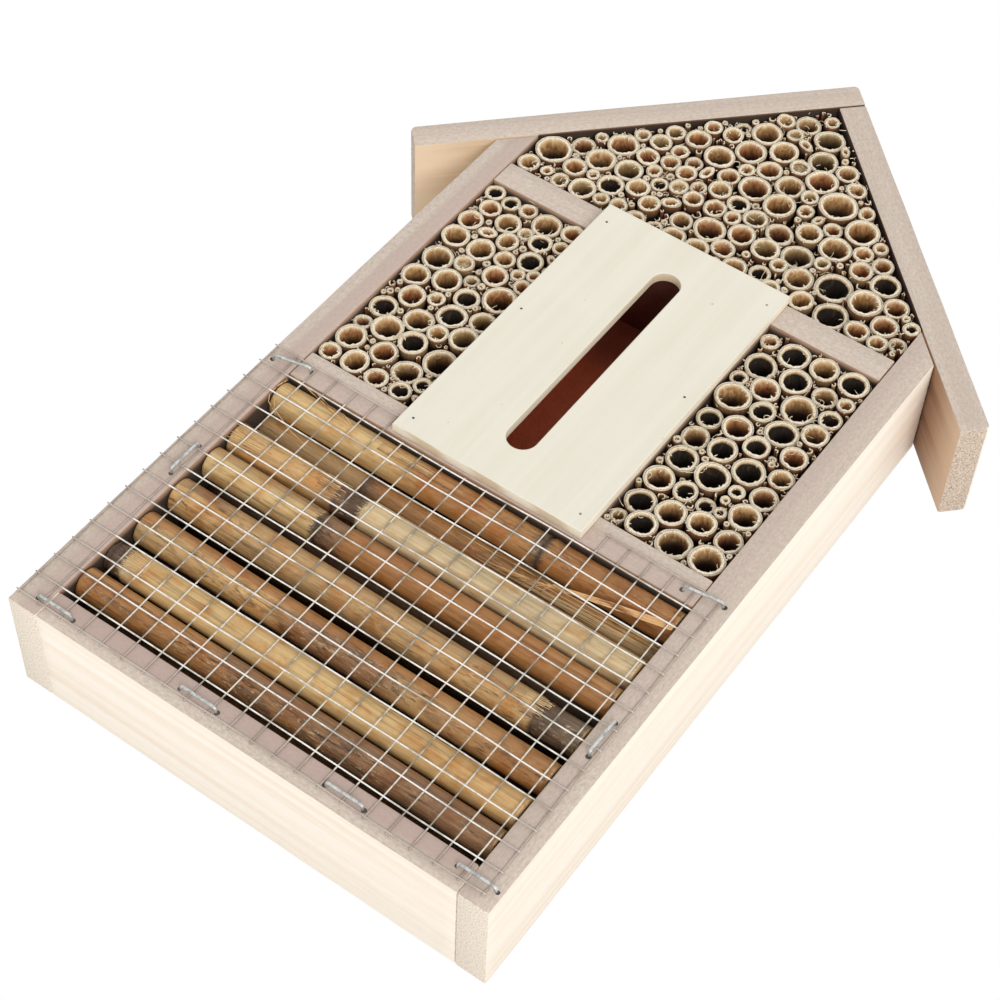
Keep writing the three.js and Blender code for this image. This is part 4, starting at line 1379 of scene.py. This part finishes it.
FLOOR_SIZE = 40
FLOOR_DROP = 0.3 * MM


def add_stage():
    """A pale floor just under the object, seen only from above, and soft light."""
    s = Shader("floor")
    grain = s.noise((0.01, 0.01, 0.01), 3, 0.5)
    s.finish(s.ramp(grain, (0.3, 0.92), (0.7, 0.94)), 0.8)
    clear = s.node("ShaderNodeBsdfTransparent")
    behind = s.node("ShaderNodeNewGeometry").outputs["Backfacing"]
    mixed = s.node("ShaderNodeMixShader", {0: behind, 1: s.surface.outputs[0], 2: clear.outputs[0]})
    output = next(node for node in s.tree.nodes if node.type == "OUTPUT_MATERIAL")
    s.tree.links.new(mixed.outputs[0], output.inputs["Surface"])
    bm = bmesh.new()
    bmesh.ops.create_grid(bm, x_segments=8, y_segments=8, size=FLOOR_SIZE)
    mesh = bpy.data.meshes.new("floor")
    bm.to_mesh(mesh)
    bm.free()
    mesh.materials.append(s.material)
    floor = bpy.data.objects.new("floor", mesh)
    bpy.context.scene.collection.objects.link(floor)
    floor.location.z = -FLOOR_DROP
    floor.visible_shadow = False
    floor.visible_diffuse = False
    floor.visible_glossy = False
    floor.visible_transmission = False

    world = bpy.data.worlds.new("studio")
    world.use_nodes = True
    tree = world.node_tree
    tree.nodes["Background"].inputs["Color"].default_value = (1, 1, 1, 1)
    tree.nodes["Background"].inputs["Strength"].default_value = 0.88
    backdrop = tree.nodes.new("ShaderNodeBackground")
    path = tree.nodes.new("ShaderNodeLightPath")
    choice = tree.nodes.new("ShaderNodeMixShader")
    tree.links.new(path.outputs["Is Camera Ray"], choice.inputs[0])
    tree.links.new(tree.nodes["Background"].outputs[0], choice.inputs[1])
    tree.links.new(backdrop.outputs[0], choice.inputs[2])
    tree.links.new(choice.outputs[0], tree.nodes["World Output"].inputs["Surface"])
    backdrop.inputs["Color"].default_value = (1, 1, 1, 1)
    bpy.context.scene.world = world

    key = bpy.data.lights.new("key", "SUN")
    key.energy = 1.4
    key.angle = math.radians(25)
    key_object = bpy.data.objects.new("key", key)
    bpy.context.scene.collection.objects.link(key_object)
    towards = Vector((0.62, -0.60, -0.50))
    key_object.rotation_euler = towards.to_track_quat("Z", "Y").to_euler()


# ---- build

add_camera()
add_stage()
bpy.context.scene.view_settings.view_transform = "Standard"

# The same zinc in two copies: the upright wires dimmer as painted shade, the level ones brighter as
# painted light.
shaded_upright_wire = mesh_wire("shaded_upright_wire", tone(226, 220, 208), tone(150, 142, 128))
lit_level_wire = mesh_wire("lit_level_wire", tone(250, 248, 242), tone(196, 190, 178))
staple_wire = galvanised("staple_wire", tone(216, 220, 216), tone(160, 164, 161), 0.6)
nail_steel = galvanised("nail_steel", tone(176, 168, 156), tone(120, 110, 98))
nail_dark = galvanised("nail_dark", tone(86, 74, 62), tone(44, 36, 30), 0.1)

add_boards()
add_front_plate()
add_back_panel()
add_wire_mesh(shaded_upright_wire, lit_level_wire)
for staple in sorted(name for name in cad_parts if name.startswith("staple_")):
    add_staple(staple, staple_wire, nail_dark)
for brad in sorted(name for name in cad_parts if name.startswith("plate_brad_")):
    add_brad(brad, nail_steel, nail_dark)
add_reeds([reed_skin(), reed_rim(), reed_bore(), reed_pith()])
add_canes()
add_fibres(fibre_strands("reed_fibre", tone(150, 116, 78), tone(238, 224, 194)))
add_cane_fibres(fibre_strands("sheath_fibre", tone(156, 116, 74), tone(224, 196, 148)),
                fibre_strands("split_sheath", tone(146, 98, 58), tone(226, 184, 130)))
